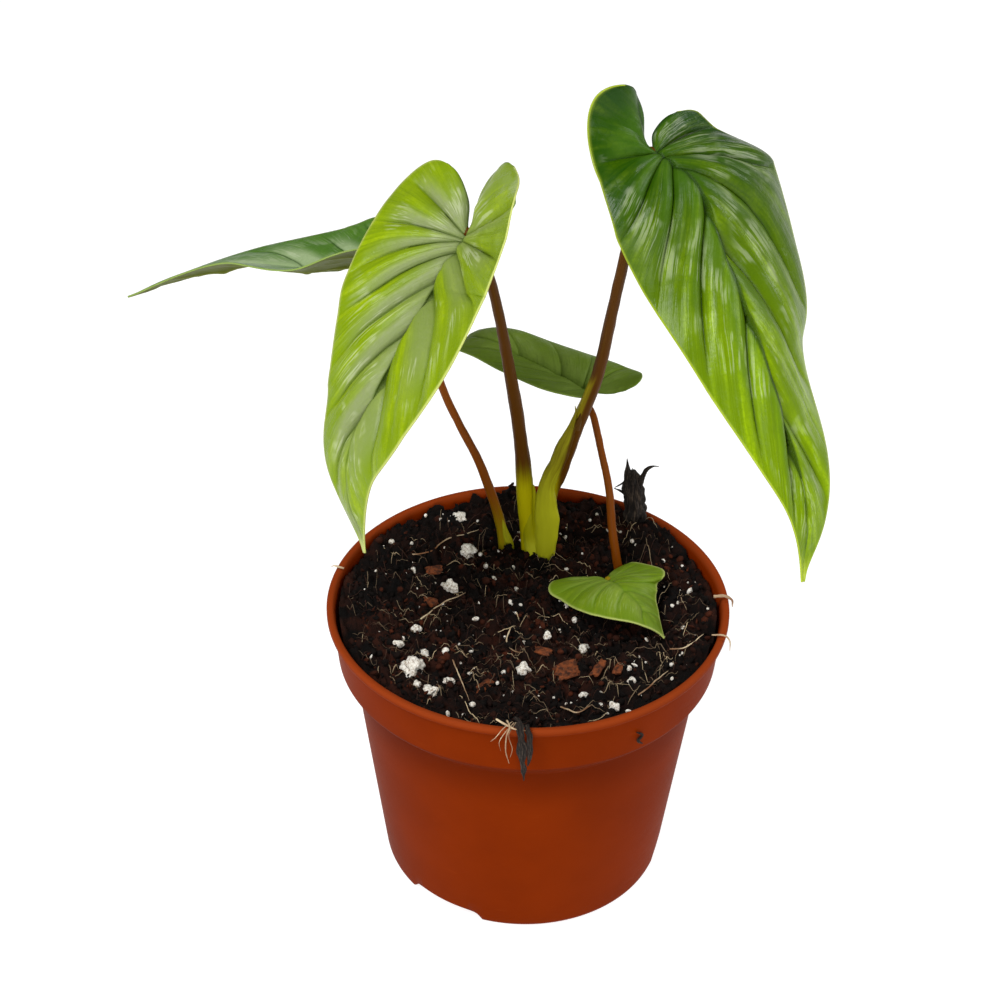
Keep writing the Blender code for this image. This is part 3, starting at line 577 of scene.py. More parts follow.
# %% The leaves' shapes
LEAVES = {
    "front_leaf": {
        "route": [(-19, 15, 208), (-27, 6, 195.5), (-34, -4, 185.5), (-44.5, -14, 167.5),
                  (-49.5, -18.5, 151.5), (-46, -26, 128)],
        "faces": [(-0.31, -0.65, 0.62), (-0.31, -0.77, 0.50), (-0.25, -0.91, 0.25)],
        "right": {"width": 0.28, "lobe": 0.14, "narrow": 1.04, "pitch": 18,
                  "fold": (0, 7, -17, -35), "curl": (-32, -20, -19, -17),
                  "veins": (0.12, 0.24, 0.36, 0.48, 0.6, 0.72, 0.85), "slant": 2.4},
        "left": {"width": 0.32, "lobe": 0.227, "narrow": 1.1, "inner": (0.35, -0.5, 0.3),
                 "pitch": 22, "fold": (31, 36, 40, 53), "curl": (41, 10, -5, -15),
                 "veins": (0.15, 0.31, 0.47, 0.63, 0.8), "slant": 2.3},
        "quilt": 0.27,
    },
    "right_leaf": {
        "route": [(31.5, 25, 229), (43, 13.5, 222.5), (51.5, 5, 205), (61, -11.5, 186.5),
                  (73.5, -26.5, 151.5), (75.5, -35.5, 128.5)],
        "faces": [(0.43, -0.32, 0.50), (0.10, -0.74, 0.65), (0.16, -0.91, 0.28)],
        "right": {"width": 0.20, "lobe": 0.15, "narrow": 0.71, "inner": (0.5, -0.8, 0.6),
                  "pitch": 98, "fold": (-13, -1, 27, 57), "curl": (-17, -25, -24, -14),
                  "veins": (0.14, 0.3, 0.46, 0.62, 0.78, 0.9), "slant": 2.4},
        "left": {"width": 0.30, "lobe": 0.063, "narrow": 0.68, "pitch": 38,
                 "fold": (25, -14, -42, -10), "curl": (-16, -28, -29, -13),
                 "veins": (0.1, 0.28, 0.48, 0.68, 0.86), "slant": 2.4},
        "quilt": 0.25,
    },
    "left_leaf": {
        "route": [(-39.5, 46, 179.5), (-49, 46, 179.5), (-62, 48, 176), (-85.5, 55, 173),
                  (-106.5, 56, 167), (-122.5, 54, 162.5)],
        "faces": [(0.09, 0.37, 0.88), (-0.05, 0.35, 0.89), (0.03, 0.34, 0.89)],
        "right": {"width": 0.285, "lobe": 0.16, "narrow": 1.0, "pitch": 15,
                  "fold": (28, 29, 14, 16), "curl": (-2, 1, -1, -7),
                  "veins": (0.15, 0.32, 0.5, 0.68, 0.85), "slant": 1.9},
        "left": {"width": 0.30, "lobe": 0.165, "narrow": 1.0, "pitch": 15,
                 "fold": (40, 8, 13, 22), "curl": (0, 0, 0, 0),
                 "veins": (0.15, 0.32, 0.5, 0.68, 0.85), "slant": 1.9},
        "quilt": 0.06,
    },
    "rear_leaf": {
        "route": [(17, 44, 139), (7, 51, 140.5), (-3, 58.5, 141.5), (-13, 66, 142.5),
                  (-21, 73, 139.5), (-26, 79, 131.5), (-28, 83, 121.5)],
        "faces": [(0, 0.10, 0.96), (-0.05, 0.25, 0.94), (-0.60, 0.60, 0.50)],
        "right": {"width": 0.26, "lobe": 0.20, "narrow": 0.9, "pitch": 22,
                  "fold": (45, 28, 14, 10), "curl": (-60, -56, -35, -20),
                  "veins": (0.15, 0.32, 0.5, 0.68, 0.85), "slant": 1.7},
        "left": {"width": 0.21, "lobe": 0.06, "narrow": 0.8, "pitch": 5,
                 "fold": (30, 12, -10, -18), "curl": (-18, -16, -9, -4),
                 "veins": (0.15, 0.32, 0.5, 0.68, 0.85), "slant": 1.7},
        "quilt": 0.06,
    },
    "small_leaf": {
        "route": [(24, 11, 93), (27, 2.5, 97), (30.5, -2.5, 96.5), (35.5, -7.5, 94),
                  (40.5, -12.3, 89)],
        "faces": [(0.04, 0.02, 0.99), (-0.02, -0.10, 1.0), (0.06, -0.25, 0.91)],
        "right": {"width": 0.52, "lobe": 0.23, "narrow": 1.15, "pitch": -30,
                  "fold": (14, -2, 11, 44), "curl": (-20, -27, -21, -6),
                  "veins": (0.14, 0.28, 0.42, 0.56, 0.7, 0.85), "slant": 1.7},
        "left": {"width": 0.51, "lobe": 0.245, "narrow": 0.83, "pitch": -14,
                 "fold": (15, -3, -29, -40), "curl": (0, 0, 0, 0),
                 "veins": (0.14, 0.28, 0.42, 0.56, 0.7, 0.85), "slant": 1.7},
        "quilt": 0.05,
    },
}

for leaf_name, leaf in LEAVES.items():
    midrib = leaf_frame(leaf)[0]
    length = np.linalg.norm(np.diff(midrib, axis=0), axis=1).sum()
    breadth = length * (leaf["left"]["width"] + leaf["right"]["width"])
    print(f"{leaf_name}: {length:.0f} mm long and {breadth:.0f} mm wide when flat")

# %% The leaves' colours
# In each list the third colour is a silver painted reflection and the fourth is painted shade for
# the creases.
UPPER_COLOURS = {
    "front_leaf": ("lime_leaf", ((76, 106, 0), (166, 190, 4), (130, 142, 94), (70, 94, 8),
                                 (212, 216, 130)),
                   {"painted_sheen_share": 0.95, "gloss": 0.3, "painted_shine": 0.8}),
    "right_leaf": ("green_leaf", ((24, 62, 0), (178, 214, 0), (72, 110, 18), (20, 50, 0),
                                  (190, 206, 60)),
                   {"painted_sheen_share": 0.45, "age": (-0.05, 0.7), "gloss": 0.3, "painted_shine": 0.6}),
    "left_leaf": ("far_leaf", ((44, 88, 14), (98, 140, 38), (150, 170, 124), (34, 66, 14),
                               (150, 168, 90)),
                  {"painted_sheen_share": 1.0, "painted_shine": 0.5}),
    "rear_leaf": ("rear_leaf", ((84, 108, 14), (112, 138, 34), (124, 144, 70), (86, 110, 18),
                                (130, 150, 70)),
                  {"painted_sheen_share": 0.4, "gloss": 0.55, "painted_shine": 0.1}),
    "small_leaf": ("small_leaf", ((78, 108, 6), (128, 150, 28), (132, 150, 66), (92, 122, 16),
                                  (196, 204, 120)),
                   {"painted_sheen_share": 0.35, "gloss": 0.5, "painted_shine": 0.15}),
}
LOWER_COLOURS = {
    "front_leaf": ("lime_leaf_under", (112, 140, 30), (160, 180, 90)),
    "right_leaf": ("green_leaf_under", (78, 108, 30), (130, 150, 76)),
    "left_leaf": ("far_leaf_under", (84, 94, 8), (120, 128, 40)),
    "rear_leaf": ("rear_leaf_under", (76, 98, 32), (118, 136, 64)),
    "small_leaf": ("small_leaf_under", (100, 128, 40), (150, 170, 90)),
}
UPPER = {leaf_name: leaf_skin(title, colours, **rest)
         for leaf_name, (title, colours, rest) in UPPER_COLOURS.items()}
LOWER = {leaf_name: under_skin(*rest) for leaf_name, rest in LOWER_COLOURS.items()}
print("leaf finishes:", len(UPPER) + len(LOWER))

# %% The leaves themselves
for leaf_name, leaf in LEAVES.items():
    grid = blade_surface(leaf)
    sheet = quilted(leaf, grid)
    quads = grid_quads(*sheet.shape[:2])
    finishes = (UPPER[leaf_name], LOWER[leaf_name])
    blade = new_piece(f"{leaf_name}_sheet", sheet, [quads], finishes, [f"{leaf_name}_blade"],
                      blade_marks(grid))
    thick = blade.modifiers.new("thickness", "SOLIDIFY")
    thick.thickness = BLADE_THICKNESS * MM
    thick.offset = 0.0
    thick.material_offset = 1

# %% [markdown]
# ## Stalks
# A stalk is a ring carried along a curve. Its radius eases between a few measured values, and
# tiny ripples keep it from looking turned. Age, from fresh green to brown, is stored at each
# point, because on these stalks it follows the height and the side that faces the light.


# %% Round stems
POLE_LENGTH = 0.3


def on_rings(values, rings):
    """Values at even places along a stem, eased onto its rings; one number holds all along."""
    if np.isscalar(values):
        return values
    return ease(np.linspace(0, 1, rings), even_keys(values), values)[:, None, None]


def stem_surface(route, radii, sides=28, rings=90, breadth=1.0, ripple=0.03, seed=1,
                 across=(0, 1, 0)):
    """Rings of points: centre + radius * (breadth * cosine * wide + sine * deep).

    Each end is closed by a pole. The marks are the share of a turn, the share along and an
    age, which is filled in afterwards.
    """
    middle = smooth_curve(route, rings)
    along = unit(np.gradient(middle, axis=0))
    wide = unit(np.cross(np.broadcast_to(np.asarray(across, float), along.shape), along))
    deep = np.cross(along, wide)
    radius = on_rings(radii, rings)
    turn = np.linspace(0, 2 * math.pi, sides, endpoint=False)
    ring = on_rings(breadth, rings) * np.cos(turn)[:, None] * wide[:, None]
    ring = ring + np.sin(turn)[:, None] * deep[:, None]
    points = middle[:, None] + radius * ring
    points = points + radius * ring * ripple * rumple(points * (1, 1, 0.35), 2.2, seed)[..., None]
    poles = np.stack([middle[0] - along[0] * POLE_LENGTH * radius[0, 0],
                      middle[-1] + along[-1] * POLE_LENGTH * radius[-1, 0]])
    everything = np.concatenate([points.reshape(-1, 3), poles])
    share = np.repeat(np.linspace(0, 1, rings), sides)
    turned = np.tile(turn / (2 * math.pi), rings)
    place = np.stack([turned, share, share * 0], axis=1)
    place = np.concatenate([place, [(0, 0, 0), (0, 1, 0)]])
    return everything, ring_faces(rings, sides), place


def joined(surfaces):
    """Several surfaces as one: points stacked, and each one's faces counted on from the last."""
    points, quads, triangles, places, count = [], [], [], [], 0
    for shape, (four, three), place in surfaces:
        points.append(shape)
        quads.append(four + count)
        triangles.append(three + count)
        places.append(place)
        count += len(shape)
    faces = [np.concatenate(quads), np.concatenate(triangles)]
    return np.concatenate(points), faces, np.concatenate(places)


def new_stem(name, surface, finish, stands_for):
    """A piece from a stem surface, with its marks stored for the finish."""
    points, faces, place = surface
    new_piece(name, points, faces, [finish], [stands_for], {"stem_place": place})


# %% The stalks' finish
def stalk_skin(name, fresh, brown, roughness=0.38):
    """Fresh where the age mark is 0 and brown where it is 1, with streaks along the stalk."""
    skin = Finish(name, Specular_IOR_Level=0.1)
    turned, share, age = skin.mark("stem_place")
    streaks = skin.noise(skin.vector(turned * 14.0, share * 3.0, 0.0), 1.6, 3.0)
    speck = skin.noise(skin.place(), 1500.0, 2.0)
    colour = skin.mix((age + streaks * 0.5 - 0.25).climb(0.0, 1.0), fresh, brown)
    dirt = (streaks * 0.5 + speck * 0.5).climb(0.62, 0.78) * 0.35
    colour = skin.mix(dirt, colour, paint(60, 36, 10))
    normal = skin.bump(streaks, 0.0003, 0.35)
    return skin.put(Base_Color=colour, Roughness=roughness + speck * 0.2, Normal=normal)


THICK_STALK = stalk_skin("brown_stalk", paint(184, 174, 2), paint(82, 46, 0))
THIN_STALK = stalk_skin("thin_stalk", paint(146, 128, 6), paint(118, 58, 0))
GREEN_SHEATH = stalk_skin("green_sheath", paint(184, 184, 30), paint(80, 50, 0), 0.45)

# %% The stalks themselves
STALKS = {
    "front_leaf": ([(-0.4, 34, 84), (-0.6, 34, 93), (-1.6, 34, 105), (-2.2, 33.5, 117),
                    (-4.2, 32, 136), (-6.7, 30, 153), (-9.8, 27, 173), (-12.4, 24, 187),
                    (-15.6, 20.5, 199)],
                   (2.1, 2.3, 2.6, 2.1, 2.0, 1.8, 1.6, 1.5, 1.4, 1.3), THICK_STALK),
    "right_leaf": ([(5.6, 33.0, 84), (5.6, 34, 93), (5.8, 34, 107), (9, 34, 117), (13, 33, 132),
                    (19, 31.5, 152.5), (22.5, 30, 175.5), (25.3, 28.5, 194.5), (28, 27.5, 212)],
                   (2.3, 2.6, 2.5, 2.3, 1.95, 1.8, 1.65, 1.6, 1.5, 1.4), THICK_STALK),
    "left_leaf": ([(-8.2, 36.2, 79), (-8, 36, 87), (-10, 36.5, 98), (-15.6, 38.5, 115),
                   (-22, 40.5, 128), (-26.5, 42, 138), (-31.5, 44, 153), (-35.5, 45.5, 168)],
                  (1.7, 1.65, 1.5, 1.35, 1.25, 1.2, 1.15, 1.1, 1.1), THIN_STALK),
    "rear_leaf": ([(29, 21, 79), (28, 22, 86), (25.4, 26.5, 100), (24, 31, 112),
                   (21.2, 36, 123), (18.6, 41, 132)],
                  (1.4, 1.4, 1.3, 1.2, 1.1, 1.1, 1.0), THIN_STALK),
    "small_leaf": ([(25, 17, 79), (25, 16, 84), (24.4, 14, 88)], (1.2, 1.1, 1.0, 0.9), THIN_STALK),
}
BROWNING = {"front_leaf": (106, 124), "right_leaf": (84, 150), "left_leaf": (82, 112),
            "rear_leaf": (60, 90), "small_leaf": (80, 120)}
NECK = 4
EMBEDDED = 0.2
for seed, (leaf_name, (route, radii, finish)) in enumerate(STALKS.items()):
    middle, _, _, out = leaf_frame(LEAVES[leaf_name])
    end = middle[0] - out[0] * EMBEDDED
    neck = [middle[0] - out[0] * NECK] if len(route) > 3 else []
    points, faces, place = stem_surface([*route, *neck, end], radii, seed=seed + 10)
    x, _, z = points.T
    age = climb(z, *BROWNING[leaf_name])
    if leaf_name == "right_leaf":  # its lower part is brown on one side only
        line = np.interp(z, [84, 117, 132, 152, 212], [5.6, 9, 13, 19, 28])
        age = np.clip(age * 0.5 + climb(x - line, -1.6, 1.6) * climb(z, 90, 112), 0, 1)
        age = np.maximum(age, climb(z, 142, 156))
    place[:, 2] = age
    new_stem(f"{leaf_name}_stem", (points, faces, place), finish, f"{leaf_name}_stalk")

# %% [markdown]
# ## Crown and sheaths
# The two thick stalks grow out of one short stem, and each young leaf came out of a green
# sheath. The sheath is a flattened tube that narrows to a torn point beside its stalk.

# %% The crown and the two sheaths
CROWN_SKIN = stalk_skin("crown_skin", paint(196, 196, 44), paint(160, 156, 4))
crown = joined([
    stem_surface([(-0.4, 33.6, 101), (0.2, 33.2, 93), (0.9, 32.8, 87), (1.5, 32.5, 80)],
                 (1.6, 2.3, 2.3, 2.0), seed=31),
    stem_surface([(5.3, 33.4, 104), (5.2, 32.9, 94), (5.0, 32.4, 87.5), (4.6, 32.2, 80)],
                 (1.8, 2.3, 2.3, 2.0), seed=32),
    stem_surface([(2.3, 33, 84), (2.3, 33, 96), (1.5, 32.9, 106), (0.9, 32.9, 111.5)],
                 (2.2, 2.0, 1.4, 0.3), seed=36),
])
crown[2][:, 2] = climb(crown[0][:, 2], 86, 97)
new_stem("crown", crown, CROWN_SKIN, "rootstock")

right_sheath = joined([
    stem_surface([(4.9, 31.8, 82), (5.2, 31.9, 92), (5.3, 32.0, 98.6), (4.9, 31.9, 106),
                  (5.1, 31.9, 112.5), (6.5, 31.7, 117.3), (8.0, 31.4, 121), (9.5, 31.2, 126.4),
                  (10.7, 31, 130), (12.2, 30.7, 135.4), (13.0, 30.6, 139.7), (12.7, 30.6, 142.2)],
                 (2.2, 2.5, 2.6, 2.55, 2.3, 2.1, 1.8, 1.5, 1.0, 0.5, 0.1), 36, 130,
                 breadth=(1.1, 1.25, 1.42, 1.5, 1.4, 1.2, 1.35, 1.6, 2.0, 1.8, 1.0), seed=33),
    stem_surface([(13.2, 30.5, 134), (14.2, 30.6, 137.5), (14.6, 30.6, 140)], (1.0, 0.7, 0.1),
                 breadth=1.2, seed=34),
])
x, _, z = right_sheath[0].T
brown_from = np.interp(z, (92, 112, 121, 130, 142), (9.5, 7.6, 9.2, 11.4, 13.6))
browned = climb(x - brown_from, -1.2, 1.0) * climb(z, 98, 112)
right_sheath[2][:, 2] = np.maximum(browned, 0.6 * climb(z, 96, 126))
new_stem("right_sheath", right_sheath, GREEN_SHEATH, "right_leaf_sheath")

left_sheath = stem_surface([(-6.6, 35.4, 80), (-6.2, 35.0, 87), (-7.6, 35.2, 92),
                            (-9.2, 35.6, 98.5)], (1.1, 1.15, 0.8, 0.12), breadth=1.3, seed=35)
left_sheath[2][:, 2] = 0.4
new_stem("left_sheath", left_sheath, GREEN_SHEATH, "left_leaf_sheath")

# %% [markdown]
# ## The pot
# The pot is moulded in one piece, so it is a profile turned about its axis. Small rounded
# corners catch the light at the lip and the shoulder. Three low arches in the foot let water
# run out from under it: there the foot's lowest points are lifted. A turned grid can't have
# drain holes, so a Boolean drills them one after another.

# %% Turned surfaces
POT_HEIGHT, RIM_RADIUS, FOOT_RADIUS, WALL = 93.0, 60.0, 43.7, 1.2
FLOOR_LIFT, PLINTH_RADIUS = 3.6, 24.0
SHOULDER_LOW, SHOULDER_HIGH = (52.1, 69.8), (57.0, 76.5)
LIP_HEIGHT = 2.6
ARCH_ANGLES, ARCH_WIDTH, ARCH_HEIGHT, ARCH_SQUARENESS = (-123, -3, 117), 26.0, 3.4, 8
HOLES, HOLE_RADIUS, HOLE_CIRCLE = 8, 3.6, 34.0
POT_SEGMENTS, MIX_SEGMENTS = 320, 330


def s_step(low, high, steps=14):
    """A smooth step: the radius follows an S while the height climbs evenly."""
    part = np.linspace(0, 1, steps)
    radius = low[0] + (high[0] - low[0]) * part * part * (3 - 2 * part)
    return list(zip(radius.tolist(), (low[1] + (high[1] - low[1]) * part).tolist()))


def turned_surface(profile, segments):
    """The profile's inner points as rings about the axis, and its two ends as poles."""
    radii, heights = np.asarray(profile[1:-1], float).T
    turn = np.linspace(0, 2 * math.pi, segments, endpoint=False)
    x = radii[:, None] * np.cos(turn)
    y = radii[:, None] * np.sin(turn)
    rings = np.stack([x, y, np.broadcast_to(heights[:, None], x.shape)], axis=-1).reshape(-1, 3)
    points = np.vstack([rings, (0, 0, profile[0][1]), (0, 0, profile[-1][1])])
    return points, ring_faces(len(radii), segments)


# %% The pot's finish
def pot_finish():
    """Terracotta plastic: faint cloudy patches, painted shade on and below the shoulder and a
    painted highlight on the lip. Heights are in metres."""
    finish = Finish("pot_plastic", Specular_IOR_Level=0.01)
    place = finish.place()
    cloud = finish.noise(place, 30.0, 4.0)
    grain = finish.noise(place, 1800.0, 2.0)
    scuffs = finish.noise(finish.stretched(place, (1.0, 1.0, 6.0)), 90.0, 4.0)
    colour = finish.mix(cloud.climb(0.3, 0.7), paint(112, 35, 0), paint(121, 39, 0))
    colour = finish.mix(scuffs.climb(0.62, 0.8) * 0.25, colour, paint(136, 54, 14))
    high = Value(finish, finish.node("SeparateXYZ", sockets={"Vector": place}).outputs["Z"])
    # Painted shade: a darker band on and below the shoulder's step.
    step = high.climb(0.052, 0.070) * high.climb(0.0765, 0.0755)
    colour = finish.mix(step * 0.5, colour, paint(76, 18, 0))
    # Painted highlight: a paler line round the lip.
    colour = finish.mix(high.climb(0.0905, 0.0925) * 0.25, colour, paint(176, 84, 44))
    normal = finish.bump(grain * 0.6 + cloud * 0.4, 0.0002, 0.25)
    roughness = 0.34 + 0.16 * grain + 0.1 * scuffs
    return finish.put(Base_Color=colour, Roughness=roughness, Normal=normal)


POT = pot_finish()

# %% The pot itself
FLOOR = FLOOR_LIFT + WALL
LIP_FOOT = POT_HEIGHT - LIP_HEIGHT
WALL_FOOT = (FOOT_RADIUS + 0.1, 2.4)
under = [(0.0, 0.0), (PLINTH_RADIUS, 0.0), (PLINTH_RADIUS + 2.6, FLOOR_LIFT),
         (FOOT_RADIUS - 2.0, FLOOR_LIFT), (FOOT_RADIUS - 2.4, 0.0), (FOOT_RADIUS - 1.2, 0.0),
         (FOOT_RADIUS - 0.75, 0.12), (FOOT_RADIUS - 0.35, 0.5), (FOOT_RADIUS - 0.1, 1.2), WALL_FOOT]
wall = np.linspace(WALL_FOOT, SHOULDER_LOW, 13)[1:-1].tolist()
lip = [(RIM_RADIUS - 1.7, LIP_FOOT - 0.15), (RIM_RADIUS - 1.2, LIP_FOOT),
       (RIM_RADIUS - 0.55, LIP_FOOT + 0.05), (RIM_RADIUS - 0.15, LIP_FOOT + 0.3),
       (RIM_RADIUS, LIP_FOOT + 0.8), (RIM_RADIUS, POT_HEIGHT - 0.8),
       (RIM_RADIUS - 0.15, POT_HEIGHT - 0.35), (RIM_RADIUS - 0.5, POT_HEIGHT - 0.07),
       (RIM_RADIUS - 0.9, POT_HEIGHT), (RIM_RADIUS - 1.5, POT_HEIGHT - 0.05),
       (RIM_RADIUS - 1.9, POT_HEIGHT - 0.3), (RIM_RADIUS - 2.2, POT_HEIGHT - 0.8),
       (RIM_RADIUS - 2.6, LIP_FOOT)]
outer_step = s_step(SHOULDER_LOW, SHOULDER_HIGH)
inner_step = s_step((SHOULDER_LOW[0] - WALL, SHOULDER_LOW[1] + WALL),
                    (SHOULDER_HIGH[0] - WALL, SHOULDER_HIGH[1] + WALL))
bottom = [(FOOT_RADIUS - WALL + 0.3, FLOOR + 1.5), (FOOT_RADIUS - WALL - 1.2, FLOOR),
          (PLINTH_RADIUS + 2.0, FLOOR), (PLINTH_RADIUS - 0.6, WALL), (0.0, WALL)]
profile = [*under, *wall, *outer_step, *lip, *reversed(inner_step), *bottom]
points, faces = turned_surface(profile, POT_SEGMENTS)
height = points[:, 2]
radius = np.hypot(points[:, 0], points[:, 1])
angle = np.arctan2(points[:, 1], points[:, 0])
out_of_round = 0.10 * np.sin(2 * angle + 0.7) + 0.06 * np.sin(3 * angle + 2)
out_of_round = out_of_round * climb(height, 20, 90) * (radius > 30)
points[:, :2] *= (1 + out_of_round / np.maximum(radius, 1))[:, None]
foot = (radius > FOOT_RADIUS - 3) & (height < FLOOR_LIFT)
half_arch = math.degrees(ARCH_WIDTH / 2 / FOOT_RADIUS)
for middle_angle in ARCH_ANGLES:
    away = np.abs((np.degrees(angle) - middle_angle + 180) % 360 - 180) / half_arch
    arch = ARCH_HEIGHT * np.clip(1 - away**ARCH_SQUARENESS, 0, 1)
    points[:, 2] += np.where(foot, arch * (1 - height / FLOOR_LIFT), 0)
pot = new_piece("nursery_pot", points, faces, [POT], ["pot"])

# %% The drain holes
bpy.ops.mesh.primitive_cylinder_add(vertices=48, radius=HOLE_RADIUS * MM, depth=8 * MM)
drill = bpy.context.object
cut = pot.modifiers.new("drain_hole", "BOOLEAN")
cut.operation = "DIFFERENCE"
cut.object = drill
for k in range(HOLES):
    turn = 2 * math.pi * (k + 0.5) / HOLES
    place = (HOLE_CIRCLE * math.cos(turn), HOLE_CIRCLE * math.sin(turn), FLOOR_LIFT + WALL / 2)
    drill.location = [part * MM for part in place]
    depsgraph = bpy.context.evaluated_depsgraph_get()
    pot.data = bpy.data.meshes.new_from_object(pot.evaluated_get(depsgraph))
pot.modifiers.remove(cut)
bpy.data.objects.remove(drill)
pot.data.set_sharp_from_angle(angle=math.radians(50))
print("pot drilled:", len(pot.data.polygons), "faces")

# %% [markdown]
# ## Potting mix
# The mix is peat fibre and bark fines: nearly black, with crumbs of every size. Its surface is
# the plain solid's gentle mounds, heaped a little at the wall and at the old stump, plus
# several sizes of rumpled noise. Patches a few centimetres wide are near-black painted shade
# in some places and brown in others.

# %% The mix's surface
MIX_LEVEL = 85.6
CROWN_AT, CROWN_SPREAD = (3.0, 33.5), 15.0
STUMP_AT, STUMP_SPREAD = (36.0, 39.0), 6.5
MIX_RADIUS = 56.4


def mound_at(x, y, centre, spread):
    """A bell over a point: e to the power of minus half the square of distance over spread."""
    return np.exp(-((x - centre[0]) ** 2 + (y - centre[1]) ** 2) / (2 * spread**2))


def mix_height(x, y):
    """A low mound at the crown, gentle bumps, and mix heaped at the wall and the old stump."""
    mound = 1.6 * mound_at(x, y, CROWN_AT, CROWN_SPREAD)
    bumps = 0.7 * np.sin(x / 9 + 1) * np.cos(y / 11) + 0.5 * np.sin((x + y) / 8 + 2)
    heaped = (4.3 + 1.6 * np.clip(y / 50, -1, 1)) * climb(np.hypot(x, y), 34, 56)
    return MIX_LEVEL + mound + bumps + heaped + 3.5 * mound_at(x, y, STUMP_AT, STUMP_SPREAD)


def rough_height(x, y):
    """The mounds plus clods. The absolute value of a smooth noise has sharp valleys, and three
    sizes of that lie between one coarse and one fine smooth noise."""
    flat = np.stack([x, y], axis=-1)
    clods = 1.1 * rumple(flat, 15, 21)
    for size, height, seed in ((8, 1.6, 22), (4, 1.0, 23), (2, 0.5, 24)):
        clods = clods + height * np.abs(rumple(flat, size, seed))
    return mix_height(x, y) + clods + 0.15 * rumple(flat, 1.1, 25) - 2.0


def shade_and_brown_patches(finish, least):
    """Patches a few centimetres wide, from least where they are near-black painted shade to 1
    where the mix shows its brown.
    """
    return least + (1 - least) * finish.noise(finish.place(), 42.0, 2.0).climb(0.42, 0.6)


def mix_finish():
    """Nearly black, with brown patches among near-black patches of painted shade, and fine
    paler bits.
    """
    finish = Finish("potting_mix", Specular_IOR_Level=0.15)
    place = finish.place()
    patches = finish.noise(place, 140.0, 4.0)
    fine = finish.noise(place, 1300.0, 4.0, 0.7)
    # Painted shade: the patches pull the mix to near-black in some places.
    share = patches.climb(0.35, 0.7) * shade_and_brown_patches(finish, 0.25)
    colour = finish.mix(share, paint(5, 3, 2), paint(50, 21, 10))
    colour = finish.mix(fine.climb(0.58, 0.78) * 0.5, colour, paint(92, 50, 30))
    normal = finish.bump(fine, 0.0008, 0.9)
    return finish.put(Base_Color=colour, Roughness=0.75 + 0.2 * fine, Normal=normal)


MIX = mix_finish()
mix_side = [(0.0, WALL + 0.4), (PLINTH_RADIUS - 0.9, WALL + 0.4),
            (PLINTH_RADIUS + 1.8, FLOOR + 0.35), (FOOT_RADIUS - WALL - 1.4, FLOOR + 0.35),
            (FOOT_RADIUS - WALL - 0.1, FLOOR + 1.7),
            (SHOULDER_LOW[0] - WALL - 0.4, SHOULDER_LOW[1]),
            (SHOULDER_HIGH[0] - WALL - 0.6, SHOULDER_HIGH[1] + 2.4)]
mix_top = [(r, MIX_LEVEL) for r in np.linspace(MIX_RADIUS, 0.5, 120).tolist()]
points, faces = turned_surface([*mix_side, *mix_top, (0.0, MIX_LEVEL)], MIX_SEGMENTS)
on_top = np.abs(points[:, 2] - MIX_LEVEL) < 0.01
points[on_top, 2] = rough_height(points[on_top, 0], points[on_top, 1])
new_piece("mix_surface", points, faces, [MIX], ["potting_mix"])

# %% [markdown]
# ## Loose pieces on the mix
# Crumbs lie loose on the mix by the thousand, so each has only a few faces: one ball of twenty
# triangles, squashed and turned at random. The same ball divided three times and pushed in and
# out makes a grain of perlite, the white expanded mineral.

# %% Balls and crumbs
def twenty_faces():
    """The icosahedron: three golden rectangles at right angles."""
    golden = (1 + math.sqrt(5)) / 2
    corners = np.array([(-1, golden, 0), (1, golden, 0), (-1, -golden, 0), (1, -golden, 0),
                        (0, -1, golden), (0, 1, golden), (0, -1, -golden), (0, 1, -golden),
                        (golden, 0, -1), (golden, 0, 1), (-golden, 0, -1), (-golden, 0, 1)])
    faces = np.array([(0, 11, 5), (0, 5, 1), (0, 1, 7), (0, 7, 10), (0, 10, 11), (1, 5, 9),
                      (5, 11, 4), (11, 10, 2), (10, 7, 6), (7, 1, 8), (3, 9, 4), (3, 4, 2),
                      (3, 2, 6), (3, 6, 8), (3, 8, 9), (4, 9, 5), (2, 4, 11), (6, 2, 10),
                      (8, 6, 7), (9, 8, 1)])
    return unit(corners.astype(float)), faces


def divided(corners, faces):
    """Each triangle becomes four, with the new corners pushed out to the ball."""
    edges = np.sort(np.concatenate([faces[:, [0, 1]], faces[:, [1, 2]], faces[:, [2, 0]]]), axis=1)
    pairs, place = np.unique(edges, axis=0, return_inverse=True)
    middle = unit(corners[pairs].mean(axis=1))
    a, b, c = place.reshape(3, -1) + len(corners)
    quarters = [(faces[:, 0], a, c), (faces[:, 1], b, a), (faces[:, 2], c, b), (a, b, c)]
    return np.vstack([corners, middle]), np.concatenate([np.stack(q, axis=1) for q in quarters])


def repeated(faces, count, step):
    """The same faces for many copies: each copy's corners are counted on by step."""
    shifted = faces[None] + (np.arange(count) * step)[:, None, None]
    return shifted.reshape(-1, faces.shape[1])


def scattered(corners, faces, centres, sizes, random, flatness=1.0, spread=(0.7, 1.2)):
    """Copies of one shape, each stretched along three axes, turned at random and moved."""
    count = len(centres)
    turn = np.linalg.qr(random.normal(size=(count, 3, 3)))[0]
    turn[:, :, 0] *= np.sign(np.linalg.det(turn))[:, None]
    stretch = random.uniform(*spread, (count, 1, 3)) * sizes[:, None, None]
    copies = np.einsum("nij,nvj->nvi", turn, corners[None] * stretch)
    copies[..., 2] *= flatness
    points = copies + centres[:, None]
    return points.reshape(-1, 3), repeated(faces, count, len(corners))


